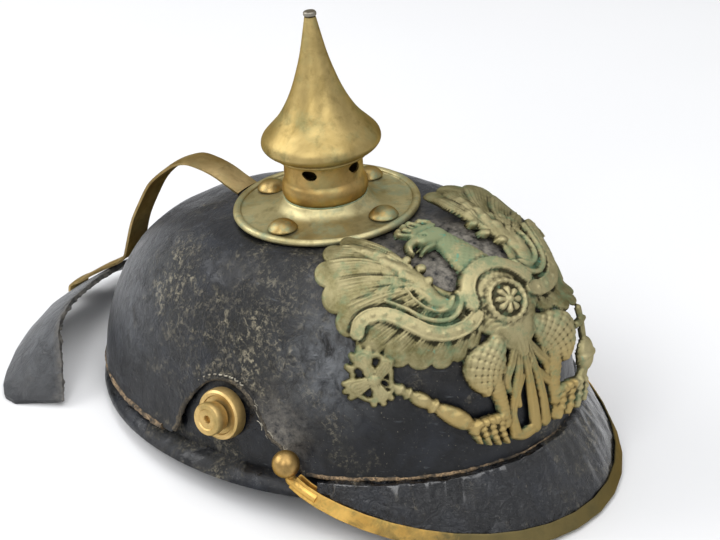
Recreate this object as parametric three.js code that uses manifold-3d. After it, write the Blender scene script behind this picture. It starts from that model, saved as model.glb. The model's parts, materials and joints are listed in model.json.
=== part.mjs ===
// Leather spiked helmet (Prussian type), millimetres, +Z up.
//
// The helmet is modelled in its own upright frame: the spike's axis is Z, the rim plane is z = 0, the front
// is -Y and the wearer's right is -X. The whole helmet is then leant back by LEAN degrees, as it lies on a
// table on its front visor, its rear rim and the torn-off neck guard, and moved so that the middle of the
// underside of its bounding box is the origin.
import * as THREE from "three";
import { mergeVertices } from "three/addons/utils/BufferGeometryUtils.js";
import Module from "manifold-3d";

const { PI, sin, cos, abs, min, max, sqrt, hypot } = Math;
const RAD = PI / 180;
const V = (x, y, z) => new THREE.Vector3(x, y, z);
const clamp01 = (x) => min(1, max(0, x));
const smooth = (x) => clamp01(x) ** 2 * (3 - 2 * clamp01(x));
const lerp = (a, b, t) => a + (b - a) * t;
const steps = (n) => Array.from({ length: n + 1 }, (_, i) => i / n);
const around = (n) => Array.from({ length: n }, (_, i) => (i / n) * 2 * PI);

// ---------------------------------------------------------------- driving dimensions
const LEAN = 5.6; // how far the helmet leans back as it rests, degrees
const GAP = 0.3; // left between neighbouring pieces
const LEATHER = 2.5; // shell, visor and neck guard
const BRASS = 1.2; // spun and stamped brass, as modelled

// The shell's plan is half an ellipse to the front and half to the back. Each direction's meridian is
// reach * (1 - (z/top)^rise)^(1/round).
const TOP = 91.6; // height of the meridians' common pole
const CROWN_DROP = 1.4; // the shell is flattened this much below the pole, under the base plate
const MERIDIAN = {
  front: { reach: 114.8, rise: 3.36, round: 5.71 },
  side: { reach: 93.0, rise: 0.42, round: 6.83 },
  back: { reach: 127.0, rise: 2.03, round: 2.97 },
};
const SEAM_Z = 8.6; // lower edge of the crown shell, where visor and guard were sewn in
const LIP_Z = 4.2; // top of the rolled leather lip below that seam
const LIP_SAG = 1.0; // the lip has crept down this far at the back, where the helmet rests on it
const BAND = { inset: LEATHER + 2 * GAP, wall: 2.0, top: 44 };

const DISC = { radius: 42, z: 92.6, roll: 1.8, bore: 16.2, collar: 5.9 };
const STUD = { radius: 6.4, height: 4.2, circle: 31.5 };
const NECK = { radius: 17.6, bead: 19.1, top: 24.6, vents: 5, ventZ: 21.0 };
const SPIKE_HEIGHT = 90.4; // above the base plate's rim
const LUG = { y: 0.8, z: 26.1, flange: 11.4, flangeDepth: 6.4, post: 7.3, depth: 13.8, rise: 0.2, seat: 2.6 };
const BALL = { azimuth: 72.1, z: 14.3, radius: 6.0, shank: 2.6, seat: 0.5 };
const SPINE = { width: 14, thick: 2.0 };

const BRASS_COLOUR = 0xb59a55;
const GILT_COLOUR = 0xd9a441;
const PATINA_COLOUR = 0x87855c;
const LEATHER_COLOUR = 0x2b2e35;

// ---------------------------------------------------------------- the shell's surface
const waist = (z, { rise, round }, inset = 0) =>
  max(0, 1 - clamp01(z / (TOP - inset)) ** rise) ** (1 / round);

// The shell's half widths to the front, the side and the back at a height, moved in by `inset`.
function section(z, inset = 0) {
  const half = (m) => max(0, (m.reach - inset) * waist(z, m, inset));
  return { front: half(MERIDIAN.front), side: half(MERIDIAN.side), back: half(MERIDIAN.back) };
}

// A point of the shell at an ellipse angle from the front towards the wearer's right.
function onShell(angle, z, inset = 0, at = z) {
  const s = section(at, inset);
  return V(-s.side * sin(angle), -(cos(angle) > 0 ? s.front : s.back) * cos(angle), z);
}

function insideShell(p, inset) {
  if (p.z >= TOP - inset) return false;
  const s = section(p.z, inset);
  return (p.x / max(s.side, 1e-6)) ** 2 + (p.y / max(p.y < 0 ? s.front : s.back, 1e-6)) ** 2 < 1;
}

// How far the shell, moved out by -inset, lies from a centre along a direction.
function castToShell(centre, direction, inset) {
  let near = 0;
  let far = 220;
  for (let i = 0; i < 26; i++) {
    const middle = (near + far) / 2;
    if (insideShell(centre.clone().addScaledVector(direction, middle), inset)) near = middle;
    else far = middle;
  }
  return centre.clone().addScaledVector(direction, near);
}

// ---------------------------------------------------------------- solids from rows of points
const wasm = await Module();
wasm.setup();

function geometryOf(points, faces) {
  const g = new THREE.BufferGeometry();
  g.setAttribute("position", new THREE.Float32BufferAttribute(points.flatMap((p) => p.toArray()), 3));
  g.setIndex(faces.flat());
  g.computeVertexNormals();
  return g;
}

function solidOf(geometry) {
  const plain = geometry.clone();
  plain.deleteAttribute("normal");
  plain.deleteAttribute("uv");
  const g = mergeVertices(plain, 1e-4);
  const solid = new wasm.Manifold(
    new wasm.Mesh({
      numProp: 3,
      vertProperties: g.attributes.position.array,
      triVerts: new Uint32Array(g.index.array),
    }),
  );
  return solid;
}

function geometryFrom(solid) {
  const mesh = solid.getMesh();
  const g = new THREE.BufferGeometry();
  g.setAttribute("position", new THREE.BufferAttribute(mesh.vertProperties, 3));
  g.setIndex(new THREE.BufferAttribute(mesh.triVerts, 1));
  g.computeVertexNormals();
  return g;
}

// A closed body through rings of equally many points. Its ends are capped, or joined if `closed`.
function loft(rings, { closed = false } = {}) {
  const n = rings[0].length;
  const points = rings.flat();
  const faces = [];
  const last = closed ? rings.length : rings.length - 1;
  for (let r = 0; r < last; r++)
    for (let i = 0; i < n; i++) {
      const [a, b] = [r * n + i, r * n + ((i + 1) % n)];
      const [c, d] = [((r + 1) % rings.length) * n + i, ((r + 1) % rings.length) * n + ((i + 1) % n)];
      faces.push([a, b, d], [a, d, c]);
    }
  if (!closed)
    for (const [row, turn] of [[0, 1], [rings.length - 1, 0]]) {
      const centre = rings[row].reduce((sum, p) => sum.add(p), V(0, 0, 0)).divideScalar(n);
      points.push(centre);
      for (let i = 0; i < n; i++) {
        const [a, b] = [row * n + i, row * n + ((i + 1) % n)];
        faces.push(turn ? [points.length - 1, b, a] : [points.length - 1, a, b]);
      }
    }
  const solid = solidOf(geometryOf(points, faces));
  if (solid.volume() > 0) return geometryOf(points, faces);
  return geometryOf(points, faces.map(([a, b, c]) => [a, c, b]));
}

// A turned piece on the Z axis. The profile is a list of [radius, z] that closes on itself.
function turned(profile, sides) {
  const points = [...profile, profile[0]].map(([r, z]) => new THREE.Vector2(r, z));
  const g = new THREE.LatheGeometry(points, sides).rotateX(PI / 2);
  if (solidOf(g).volume() > 0) return g;
  return new THREE.LatheGeometry(points.reverse(), sides).rotateX(PI / 2);
}

const MATERIAL = {
  leather: [LEATHER_COLOUR, 0.55, 0],
  brass: [BRASS_COLOUR, 0.35, 1],
  gilt: [GILT_COLOUR, 0.4, 1],
  patina: [PATINA_COLOUR, 0.55, 0.8],
};

const helmet = new THREE.Group();

function piece(name, geometry, kind) {
  const [color, roughness, metalness] = MATERIAL[kind];
  const mesh = new THREE.Mesh(geometry, new THREE.MeshStandardMaterial({ color, roughness, metalness }));
  mesh.name = name;
  helmet.add(mesh);
  return mesh;
}

// ---------------------------------------------------------------- leather: crown shell and lower band
const SHELL_SIDES = 34;

const INNER_ROWS = [SEAM_Z, 22, BAND.top, 64, 77, 84, TOP - CROWN_DROP - LEATHER];
const OUTER_ROWS = [SEAM_Z, 22, 38, 53, 65.5, 75.5, 82.5, 87.2, TOP - CROWN_DROP];

// The arch over each lug, seen from the side as y, z: from its rear foot over the lug to its front foot.
const ARCH = {
  rearFoot: [[38, 0], [29, 12]],
  over: [
    // two handles and an end
    [28, 24, 20, 40, 3, 40.5],
    [-12, 41, -17, 28, -24, 21],
    [-29, 17, -33, 16, -40, 9],
  ],
  frontFoot: [-42, 0],
  near: 55, // the cut runs through the wall from here to `far`, measured from the middle plane
  far: 115,
};

// What is cut out of the crown shell for the arch on one side, as a prism along X.
function archCutter(side) {
  const arch = new THREE.Shape();
  const { rearFoot, over, frontFoot, near, far } = ARCH;
  arch.moveTo(...rearFoot[0]);
  arch.lineTo(...rearFoot[1]);
  for (const row of over) arch.bezierCurveTo(...row);
  arch.lineTo(...frontFoot);
  const prism = new THREE.ExtrudeGeometry(arch, { depth: far - near, bevelEnabled: false, curveSegments: 6 });
  // The shape's X becomes the helmet's Y and its Y becomes Z.
  prism.applyMatrix4(new THREE.Matrix4().makeBasis(V(0, 1, 0), V(0, 0, 1), V(1, 0, 0)));
  return solidOf(prism.translate(side > 0 ? near : -far, 0, 0));
}

function crownShell() {
  const ring = (z, inset) => around(SHELL_SIDES).map((a) => onShell(a, z, inset));
  const inner = [...INNER_ROWS].reverse().map((z) => ring(z, LEATHER));
  const hull = solidOf(loft([...inner, ...OUTER_ROWS.map((z) => ring(z, 0))]));
  return geometryFrom(hull.subtract(archCutter(-1)).subtract(archCutter(1)));
}
piece("crown_shell", crownShell(), "leather");

// The lower band lies inside the crown shell, shows in the arches, and ends below in a rolled lip, which
// is pared down under the visor.
function lowerBand() {
  const { inset, wall, top } = BAND;
  return loft(
    around(SHELL_SIDES).map((a) => {
      const pared = 5 * smooth((cos(a) - 0.1) / 0.35);
      const sag = LIP_SAG * smooth((0.2 - cos(a)) / 0.8);
      return [
        onShell(a, -sag, 2.2 + pared, 0),
        onShell(a, 1.0, 0.3 + pared, 0),
        onShell(a, 2.6, 0.2 + pared, 0.6),
        onShell(a, LIP_Z, 1.6 + pared * 0.5, LIP_Z),
        onShell(a, LIP_Z + 0.5, inset, 14),
        onShell(a, 22, inset),
        onShell(a, top, inset),
        onShell(a, top, inset + wall),
        onShell(a, 22, inset + wall),
        onShell(a, 6, inset + wall, 14),
        onShell(a, 0.6, inset + wall + pared * 0.5, 6),
      ];
    }),
    { closed: true },
  );
}
piece("lower_band", lowerBand(), "leather");

// ---------------------------------------------------------------- front visor and its brass trim
// The visor's free edge: an ellipse in plan that drops towards the front. `turn` runs -1..1 from the
// wearer's left end to the right end.
const EDGE = { half: 86, startY: 31.3, forward: 104.65, highZ: 11.5, drop: 37.1, dip: 0.56 };

function visorEdge(turn) {
  const t = (turn * PI) / 2;
  const c = max(0, cos(t));
  return V(-EDGE.half * sin(t), -(EDGE.startY + EDGE.forward * c), EDGE.highZ - EDGE.drop * c ** EDGE.dip);
}

// Where the visor leaves the shell: in the groove under the crown shell, and at both ends up on the wall.
function visorRoot(turn, outward) {
  const edge = visorEdge(turn);
  const z = lerp(SEAM_Z - 0.4 - LEATHER / 2, EDGE.highZ + 7.5, smooth((abs(turn) - 0.88) / 0.12));
  const s = section(z);
  const flat = hypot(edge.x, edge.y);
  const [ux, uy] = [edge.x / flat, edge.y / flat];
  const reach = 1 / hypot(ux / s.side, uy / s.front) + outward;
  return V(ux * reach, uy * reach, z);
}

// The visor's own axes at a place on its edge: along the edge, up the visor to its root, and out of its face.
function visorAxes(turn) {
  const along = visorEdge(min(1, turn + 0.01)).sub(visorEdge(max(-1, turn - 0.01))).normalize();
  const up = visorRoot(turn, 3.2).sub(visorEdge(turn));
  up.addScaledVector(along, -up.dot(along)).normalize();
  const face = new THREE.Vector3().crossVectors(along, up).normalize();
  if (face.x * visorEdge(turn).x + face.y * visorEdge(turn).y < 0) face.negate();
  return { along, up, face };
}

const TRIM = { width: 7, lip: 0.8, thick: LEATHER + 2 * GAP + 2 * 0.7, end: 0.965, stations: 24 };
const VISOR_END = 0.9; // the leather stops near here, the trim runs on to the ball studs
const TRIM_STATIONS = steps(TRIM.stations).map((s) => TRIM.end * sin((s * 2 - 1) * 1.3) / sin(1.3));

function frontVisor() {
  return loft(
    TRIM_STATIONS.filter((turn) => abs(turn) < VISOR_END).map((turn) => {
      const { up, face } = visorAxes(turn);
      const edge = visorEdge(turn).addScaledVector(up, TRIM.lip + GAP);
      const bend = visorRoot(turn, 3.4);
      const root = visorRoot(turn, lerp(-0.9, 2.0, smooth((abs(turn) - 0.8) / 0.08)));
      const half = LEATHER / 2;
      const row = (p, lift) => p.clone().addScaledVector(face, lift);
      const middle = edge.clone().lerp(bend, 0.6);
      const bulge = 0.4 * (1 - smooth((abs(turn) - 0.4) / 0.3));
      return [
        row(edge, half),
        row(middle, half + bulge),
        bend.clone().add(V(0, 0, half)),
        root.clone().add(V(0, 0, half)),
        root.clone().add(V(0, 0, -half)),
        bend.clone().add(V(0, 0, -half)).addScaledVector(face, -half),
        row(middle, -half + bulge),
        row(edge, -half),
      ];
    }),
  );
}
piece("front_visor", frontVisor(), "leather");

// A folded brass channel round the visor's edge, up to both ball studs.
function visorTrim() {
  return loft(
    TRIM_STATIONS.map((turn) => {
      const { up, face } = visorAxes(turn);
      const half = TRIM.thick / 2;
      const slot = LEATHER / 2 + GAP;
      const p = (u, f) => visorEdge(turn).addScaledVector(up, u).addScaledVector(face, f);
      const { width, lip } = TRIM;
      return [
        p(0, half - 0.5),
        p(width, half),
        p(width, slot),
        p(lip, slot),
        p(lip, -slot),
        p(width, -slot),
        p(width, -half),
        p(0, -half + 0.5),
      ];
    }),
  );
}
piece("visor_trim", visorTrim(), "gilt");

// ---------------------------------------------------------------- side fittings
// A frame on the helmet's wall: origin on the surface at an inset, Z out of the wall.
function onWall(side, y, z, inset, rise) {
  const s = section(z, inset);
  const x = side * s.side * sqrt(1 - (y / (y < 0 ? s.front : s.back)) ** 2);
  const outward = V(x / s.side ** 2, y / (y < 0 ? s.front : s.back) ** 2, 0).normalize().add(V(0, 0, rise));
  const turn = new THREE.Quaternion().setFromUnitVectors(V(0, 0, 1), outward.normalize());
  return new THREE.Matrix4().compose(V(x, y, z), turn, V(1, 1, 1));
}

function ballStud(side) {
  const foot = onShell(BALL.azimuth * RAD, BALL.z);
  const { radius, shank, seat } = BALL;
  const arc = steps(6).map((t) => lerp(-0.3 * PI, PI / 2, t));
  const ball = arc.slice(0, -1).map((a) => [radius * cos(a), radius + radius * sin(a)]);
  return turned([[0, seat], [shank, seat], ...ball, [0, 2 * radius]], 10)
    .applyMatrix4(onWall(side, foot.y, foot.z, 0, LUG.rise));
}

function lugFlange(side) {
  const { flange: r, flangeDepth: h } = LUG;
  const profile = [[0, 0], [r - 1.2, 0], [r, 1.0], [r, h - 1.4], [r - 0.8, h], [r - 2.4, h], [0, h]];
  return turned(profile, 18).applyMatrix4(onWall(side, LUG.y, LUG.z, LUG.seat, LUG.rise));
}

function lugPost(side) {
  const { post: r, flangeDepth, depth } = LUG;
  const from = flangeDepth + GAP;
  const profile = [[0, from], [r - 0.9, from], [r - 0.9, from + 2], [r, from + 2.8], [r, depth - 0.8],
    [r - 0.8, depth], [0, depth]];
  return turned(profile, 14).applyMatrix4(onWall(side, LUG.y, LUG.z, LUG.seat, LUG.rise));
}

for (const [label, side] of [["right", -1], ["left", 1]]) {
  piece(`${label}_trim_stud`, ballStud(side), "brass");
  piece(`${label}_lug_flange`, lugFlange(side), "gilt");
  piece(`${label}_lug_post`, lugPost(side), "gilt");
}

// ---------------------------------------------------------------- base plate, neck and spike
// The spun base plate: a rolled rim, a nearly flat field, and a flared collar that carries the neck.
function basePlate() {
  const { radius, z, roll, bore, collar } = DISC;
  const bead = steps(4).map((t) => {
    const a = lerp(-0.5 * PI, 0.9 * PI, t);
    return [radius - roll + roll * cos(a), z + roll * sin(a)];
  });
  const under = [[bore, z + collar], [bore + 1.2, z + 4.2], [20.2, z + 1.0], [23.6, z - 0.6], [36, z - roll]];
  const field = [[radius - 2 * roll - 0.6, z + 0.1], [25, z + 1.0]];
  const flare = [[22.6, z + 1.9], [20.3, z + 3.6], [18.9, z + collar]];
  return turned([...under, ...bead, ...field, ...flare], 24);
}
piece("base_plate", basePlate(), "brass");

for (const [i, name] of ["front", "right", "rear", "left"].entries()) {
  const { radius: r, height: h, circle } = STUD;
  const dome = [[0, 0], [r, 0], [r * 0.94, h * 0.38], [r * 0.62, h * 0.82], [0, h]];
  const stud = piece(`base_stud_${name}`, turned(dome, 10), "brass");
  const a = (i * PI) / 2;
  stud.position.set(-circle * sin(a), -circle * cos(a), DISC.z + 1.0 + GAP);
}

// A drop-shaped prism that runs outwards through the neck's wall, point down the slope of the spike's side.
function ventCutter(azimuth) {
  const drop = new THREE.Shape();
  drop.moveTo(-3.8, 0.6);
  drop.bezierCurveTo(-2.4, 3.4, 2.8, 2.9, 3.4, 0);
  drop.bezierCurveTo(2.8, -3.1, -2.0, -2.1, -3.8, 0.6);
  const prism = new THREE.ExtrudeGeometry(drop, { depth: 12, bevelEnabled: false, curveSegments: 3 });
  prism.applyMatrix4(new THREE.Matrix4().makeBasis(V(1, 0, 0), V(0, 0, 1), V(0, -1, 0)));
  prism.translate(0, -10, DISC.z + NECK.ventZ).rotateZ(-azimuth);
  return solidOf(prism);
}

function spikeNeck() {
  const { radius: r, bead, top, vents } = NECK;
  const foot = DISC.collar + GAP;
  const outer = [[r, foot], [bead - 0.3, foot + 1.7], [bead, foot + 4.8], [r + 0.5, foot + 7.8], [r, foot + 8.6],
    [r, top - 2], [r + 0.6, top]];
  const inner = [[r + 0.6 - BRASS, top], [r - BRASS, top - 2], [r - BRASS, foot]];
  let solid = solidOf(turned([...outer, ...inner].map(([a, h]) => [a, DISC.z + h]), 22));
  for (let i = 0; i < vents; i++) solid = solid.subtract(ventCutter((i / vents) * 2 * PI));
  return geometryFrom(solid);
}
piece("spike_neck", spikeNeck(), "brass");

// The spike's outline from the lip over the neck, round the bulb and up the hollow cone.
const SPIKE_OUTLINE = [
  // radius, height above the base plate's rim
  [19.3, NECK.top + GAP], [22.2, 26.4], [25.6, 28.8], [26.5, 31.8], [25.4, 34.8], [22.6, 37.8],
  [18.6, 42.2], [15.0, 47.6], [11.6, 54.4], [8.8, 62.0], [6.3, 70.2], [4.4, 78.6], [2.5, 88.0],
];

function spike() {
  const wall = SPIKE_OUTLINE.slice(0, -3).filter((_, i) => i % 3 === 0).map(([r, h]) => [r - BRASS, h]);
  const apex = [[0, 66.0]];
  const profile = [...SPIKE_OUTLINE, [0, 88.0], ...apex, ...wall.reverse()];
  return turned(profile.map(([r, h]) => [r, DISC.z + h]), 22);
}
piece("spike", spike(), "brass");

const TIP = [[0, 88.3], [2.4, 88.3], [2.9, 89.1], [2.6, SPIKE_HEIGHT], [0, SPIKE_HEIGHT]];
piece("spike_tip", turned(TIP.map(([r, h]) => [r, DISC.z + h]), 12), "brass");

// ---------------------------------------------------------------- rear spine and neck guard
// The brass spine, seen from the side: it stands up off the shell and then lies down the neck guard.
const SPINE_LINE = [
  // y, z of its outer face
  [46.0, 91.3], [51, 93.4], [60, 97.4], [69, 99.6], [77.5, 100.2], [85.5, 97.8], [93, 93.2], [103.5, 84.6],
  [111.5, 73.6], [119.5, 60.4], [125, 47], [127.8, 40], [131, 36.4], [142, 30.2], [153, 23.8], [163, 17.4],
  [170.6, 13.0], [172.6, 8.0],
];

function rearSpine() {
  const line = SPINE_LINE.map(([y, z]) => new THREE.Vector2(y, z));
  const inner = line.map((p, i) => {
    const along = line[min(i + 1, line.length - 1)].clone().sub(line[max(i - 1, 0)]).normalize();
    return p.clone().add(new THREE.Vector2(along.y, -along.x).multiplyScalar(SPINE.thick));
  });
  const outline = new THREE.Shape([...line, ...inner.reverse()]);
  const strap = new THREE.ExtrudeGeometry(outline, { depth: SPINE.width, bevelEnabled: false });
  strap.applyMatrix4(new THREE.Matrix4().makeBasis(V(0, 1, 0), V(0, 0, 1), V(1, 0, 0)));
  return strap.translate(-SPINE.width / 2, 0, 0);
}
piece("rear_spine", rearSpine(), "gilt");

// The neck guard has come unsewn and lies behind the shell with its free edge on the table. One row for
// each station from the middle to the wearer's right end, mirrored for the left.
const GUARD = [
  // seam edge: x, y, height; free edge: x, y, height; heights are above the table as the helmet rests
  { seam: [0, 139.5, 27.2], free: [0, 167.6, 5.2] },
  { seam: [20, 138, 27.2], free: [22, 166.6, 4.2] },
  { seam: [38, 134, 27.2], free: [42, 162.4, 1.8] },
  { seam: [52, 127.5, 27.2], free: [60, 155.5, 0] },
  { seam: [62, 120.0, 26.0], free: [75, 146, 0] },
  { seam: [70, 112.5, 15.5], free: [85, 138.5, 0] },
  { seam: [76, 107.4, 5.5], free: [91.5, 132.0, 0] },
  { seam: [78.4, 105.6, 2.6], free: [92.0, 125.0, 0] },
];
// The table's height in the helmet's frame: it touches the lip at the back.
const tableZ = (y) => (y - MERIDIAN.back.reach) * Math.tan(LEAN * RAD) - LIP_SAG;

function neckGuard() {
  const rows = [...GUARD.slice(1).reverse().map((row) => ({ ...row, side: 1 })),
    ...GUARD.map((row) => ({ ...row, side: -1 }))];
  const across = [0, 0.25, 0.55, 0.8, 1];
  const middles = rows.map(({ seam, free, side }) => {
    const a = V(side * seam[0], seam[1], tableZ(seam[1]) + seam[2]);
    const b = V(side * free[0], free[1], tableZ(free[1]) + free[2] + LEATHER * 0.62);
    const crown = 2.2 * smooth(abs(seam[0]) / 40) * smooth(seam[2] / 20);
    return across.map((t) => a.clone().lerp(b, t).add(V(0, 0, crown * 4 * t * (1 - t))));
  });
  const normal = (i, j) => {
    const [i0, i1] = [max(0, i - 1), min(middles.length - 1, i + 1)];
    const [j0, j1] = [max(0, j - 1), min(across.length - 1, j + 1)];
    const n = middles[i1][j].clone().sub(middles[i0][j]).cross(middles[i][j1].clone().sub(middles[i][j0]));
    return n.z < 0 ? n.negate().normalize() : n.normalize();
  };
  return loft(
    middles.map((row, i) => {
      const top = row.map((p, j) => p.clone().addScaledVector(normal(i, j), LEATHER / 2));
      const under = row.map((p, j) => p.clone().addScaledVector(normal(i, j), -LEATHER / 2));
      return [...top, ...under.reverse()];
    }),
  );
}
piece("neck_guard", neckGuard(), "leather");

// ---------------------------------------------------------------- the stamped brass eagle plate
// The plate is drawn flat, in millimetres from its middle: u towards the wearer's left, v up. It is wrapped
// on the shell by turning u and v into angles about a point inside the helmet. It has slipped a little
// towards the wearer's right.
const PLATE = { azimuth: 8.2, elevation: 27, centre: V(0, 0, 15), radius: 100, off: 1.0, thick: 0.9 };

function wrap(u, v, height) {
  const [a, e] = [PLATE.azimuth * RAD, PLATE.elevation * RAD];
  const ahead = V(-sin(a) * cos(e), -cos(a) * cos(e), sin(e));
  const across = V(cos(a), -sin(a), 0);
  const upward = new THREE.Vector3().crossVectors(ahead, across);
  const [lon, lat] = [u / PLATE.radius, v / PLATE.radius];
  const direction = ahead.multiplyScalar(cos(lat) * cos(lon)).addScaledVector(across, cos(lat) * sin(lon));
  direction.addScaledVector(upward, sin(lat));
  return castToShell(PLATE.centre, direction, -height);
}

// The plate's wearer's-left side is sprung away from the shell, most of all below the wing.
const standoff = (u, v) =>
  PLATE.off + 1.6 * smooth((v - 34) / 14) + 1.6 * smooth((u - 12) / 18) +
  5.5 * smooth((u - 8) / 18) * smooth((1 - v) / 8);

// A raised strip through stations [u, v, half width]: diamond section, `ridge` proud of the plate's face.
function strip(stations, ridge, up = 0) {
  const rings = stations.map(([u, v, half], i) => {
    const [p, q] = [stations[max(0, i - 1)], stations[min(stations.length - 1, i + 1)]];
    const length = hypot(q[0] - p[0], q[1] - p[1]);
    const [nu, nv] = [(-(q[1] - p[1]) / length) * half, ((q[0] - p[0]) / length) * half];
    const base = standoff(u, v);
    return [
      wrap(u + nu, v + nv, base + up + 0.5),
      wrap(u, v, base + up + PLATE.thick + ridge),
      wrap(u - nu, v - nv, base + up + 0.5),
      wrap(u, v, base),
    ];
  });
  return solidOf(loft(rings));
}

// A leaf or toe from its root to its rounded tip, from a row [root u, root v, tip u, tip v, half width].
const LEAF = [[0, 0.6], [0.7, 1], [1, 0.3]];
const leaf = ([u0, v0, u1, v1, half], ridge) =>
  strip(LEAF.map(([t, width]) => [lerp(u0, u1, t), lerp(v0, v1, t), half * width]), ridge);

// A domed boss with half axes `wide` and `tall`.
function boss([u, v, wide, tall], height, sides = 9) {
  const ring = (share, lift) =>
    around(sides).map((a) => {
      const [x, y] = [u + wide * share * cos(a), v + tall * share * sin(a)];
      return wrap(x, y, standoff(u, v) + lift);
    });
  const under = wide > 5 ? [ring(0.35, 0)] : [];
  return solidOf(loft([...under, ring(1, 0), ring(0.75, height * 0.75), ring(0.35, height)]));
}

// A fan of feathers given as rows [root u, root v, tip u, tip v] in their order round the fan: one sheet
// with a ridge down every feather, a valley beside it and a blunt tip.
function fan(feathers, ridge, notch) {
  const between = (t, k) => feathers[k].map((value, i) => lerp(value, feathers[k + 1][i], t));
  const stations = feathers.flatMap((row, k) => {
    if (k === feathers.length - 1) return [[row, 1, ridge]];
    return [
      [row, 0.98, ridge],
      [between(0.45, k), 0.96, ridge * 0.5],
      [between(0.62, k), notch, 0],
    ];
  });
  const rings = stations.map(([[u0, v0, u1, v1], reach, lift]) => {
    const p = (t, height) => {
      const [u, v] = [lerp(u0, u1, t), lerp(v0, v1, t)];
      return wrap(u, v, standoff(u, v) + height);
    };
    const proud = PLATE.thick + lift;
    const tip = PLATE.thick * 0.6 + lift * 0.4;
    return [p(0, 0), p(0.5, 0), p(reach, 0), p(reach, tip), p(0.62 * reach, proud), p(0, proud)];
  });
  return solidOf(loft(rings));
}

// Given for the wearer's left; repeated, mirrored, on the right.
const WING = [
  // root u, v, tip u, v
  [23, 40, 39, 65.5],
  [26, 37, 50, 61.5],
  [27, 32, 58.5, 50],
  [28, 27, 61, 36],
  [27.5, 23, 57.5, 22.5],
  [26, 19.5, 52, 11.5],
  [24, 16.5, 45, 3],
  [21, 14, 38, -3],
  [17.5, 12, 30.5, -6.5],
  [14, 10.5, 23, -7],
  [11, 9, 15.5, -5],
];
// Raised strips: rows of u, v, half width.
const ARM = [[10, 13.5, 3], [17, 12, 3.2], [22, 18, 4], [24, 29, 4.8], [29, 42, 4.6], [38, 57, 3]];
const PEARLS = [[21, 28.5, 2.2, 2.2], [22, 35, 2.4, 2.4]]; // u, v, half width, half height
const THIGH = [14, -12.5, 8.8, 9.6];
const CHEST = [0, 5, 11.5, 14.5];
const ROSETTE = [0, 8.5, 5.6, 5.6]; // generic, in place of a cipher
const HEAD = [-0.5, 42.5, 6.4, 5];
const BANNER = [[51, 23.6, 2.4], [43, 22, 3], [33, 13, 3], [25, 7.2, 3], [10, 6.5, 2.6]];
const CHEST_BANNER = [[-12, 12, 2.2], [-8.5, 18.4, 2.4], [0, 21.2, 2.4], [8.5, 18.4, 2.4], [12, 12, 2.2]];
const LEG = [[14, -18, 3.6], [12.5, -25, 2.6], [12, -34, 2.4]];
const TOES = [
  [11, -33, 23, -32, 2.4],
  [11, -34, 19.5, -39.5, 2.4],
  [11, -35, 9.5, -42.5, 2.4],
];
const TAIL = [
  [-3.5, -7, -14, -38],
  [-2.4, -7, -9.5, -43],
  [-1, -7, -3.5, -45.5],
  [1, -7, 4, -46],
  [2.4, -7, 11.5, -44.5],
  [3.5, -7, 18, -40.5],
];
const SCEPTRE = [[-20, -37, 1.8], [-26.5, -31, 2.4], [-30, -27.4, 4.4], [-34, -22.6, 3.4], [-38, -18, 2.2],
  [-43, -12, 2.2], [-48, -6, 1.9], [-54, 1, 2.4], [-57, 8, 2.2]];
const FINIAL = [
  [-50, -1, -67, -1, 2.8],
  [-49, -4, -57, -9.5, 2.2],
  [-54, 4, -64, 8.5, 2.2],
  [-56, 6, -54, 14, 2.2],
  [-53, 2, -45.5, 7, 2.2],
];
const ORB = [28, -23.5, 6, 6.6];
const ORB_STEM = [[18, -36, 2.2], [24, -31.5, 2.4], [28, -27, 2.6]];
const CROSS = [[[28, -19, 1.5], [28, -8, 1.5]], [[24, -12, 1.3], [32, -12, 1.3]]];
const CROWN = [
  [-7, 46, -12, 51.5],
  [-4, 47, -6, 54.5],
  [0, 47.5, 0.5, 55],
  [4, 46.5, 6.5, 52.5],
];
const CROWN_BAND = [[-8, 45.5, 1.7], [-2, 47.4, 1.7], [4.5, 46.5, 1.7]];
const NECK_FEATHERS = [[0, 15, 8], [0.8, 26, 6.8], [2, 35, 5.6], [0.5, 42, 4.8]];
const BEAK = [[-2, 44, 3.4], [-9, 43.8, 2.6], [-14.4, 42.6, 1.8], [-16.6, 39, 0.9]];
const LOWER_BEAK = [-3, 38.5, -11.5, 37.6, 1.5];

// One wing with the thigh, leg and claw below it. `row` and `leafRow` mirror the tables for the right side.
function wingAndLeg(row, leafRow) {
  return [
    fan(WING.map(leafRow), 1.3, 0.8),
    strip(ARM.map(row), 1.8),
    strip(BANNER.map(row), 1.6, 0.6),
    ...PEARLS.map((pearl) => boss(row(pearl), 3.2, 5)),
    boss(row(THIGH), 4.2),
    strip(LEG.map(row), 2.0),
    ...TOES.map((toe) => leaf(leafRow(toe), 1.6)),
  ];
}

function eaglePlate() {
  const same = (row) => row;
  const mirror = ([u, v, ...rest]) => [-u, v, ...rest];
  const mirrorLeaf = ([u0, v0, u1, v1, ...rest]) => [-u0, v0, -u1, v1, ...rest];
  const parts = [
    ...wingAndLeg(same, same),
    ...wingAndLeg(mirror, mirrorLeaf),
    boss(CHEST, 3.6, 12),
    boss(ROSETTE, 5.0, 8),
    strip(CHEST_BANNER, 3.0, 0.8),
    strip(NECK_FEATHERS, 2.0),
    boss(HEAD, 4.0, 8),
    strip(BEAK, 1.6),
    leaf(LOWER_BEAK, 0.8),
    strip(CROWN_BAND, 1.6),
    fan(CROWN, 1.0, 0.8),
    fan(TAIL, 1.6, 0.9),
    strip(SCEPTRE, 2.4),
    ...FINIAL.map((row) => leaf(row, 0.8)),
    boss(ORB, 5, 8),
    strip(ORB_STEM, 1.4),
    ...CROSS.map((bar) => strip(bar, 0.8)),
  ];
  return geometryFrom(parts.reduce((whole, part) => whole.add(part)));
}
piece("eagle_plate", eaglePlate(), "patina");

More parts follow.
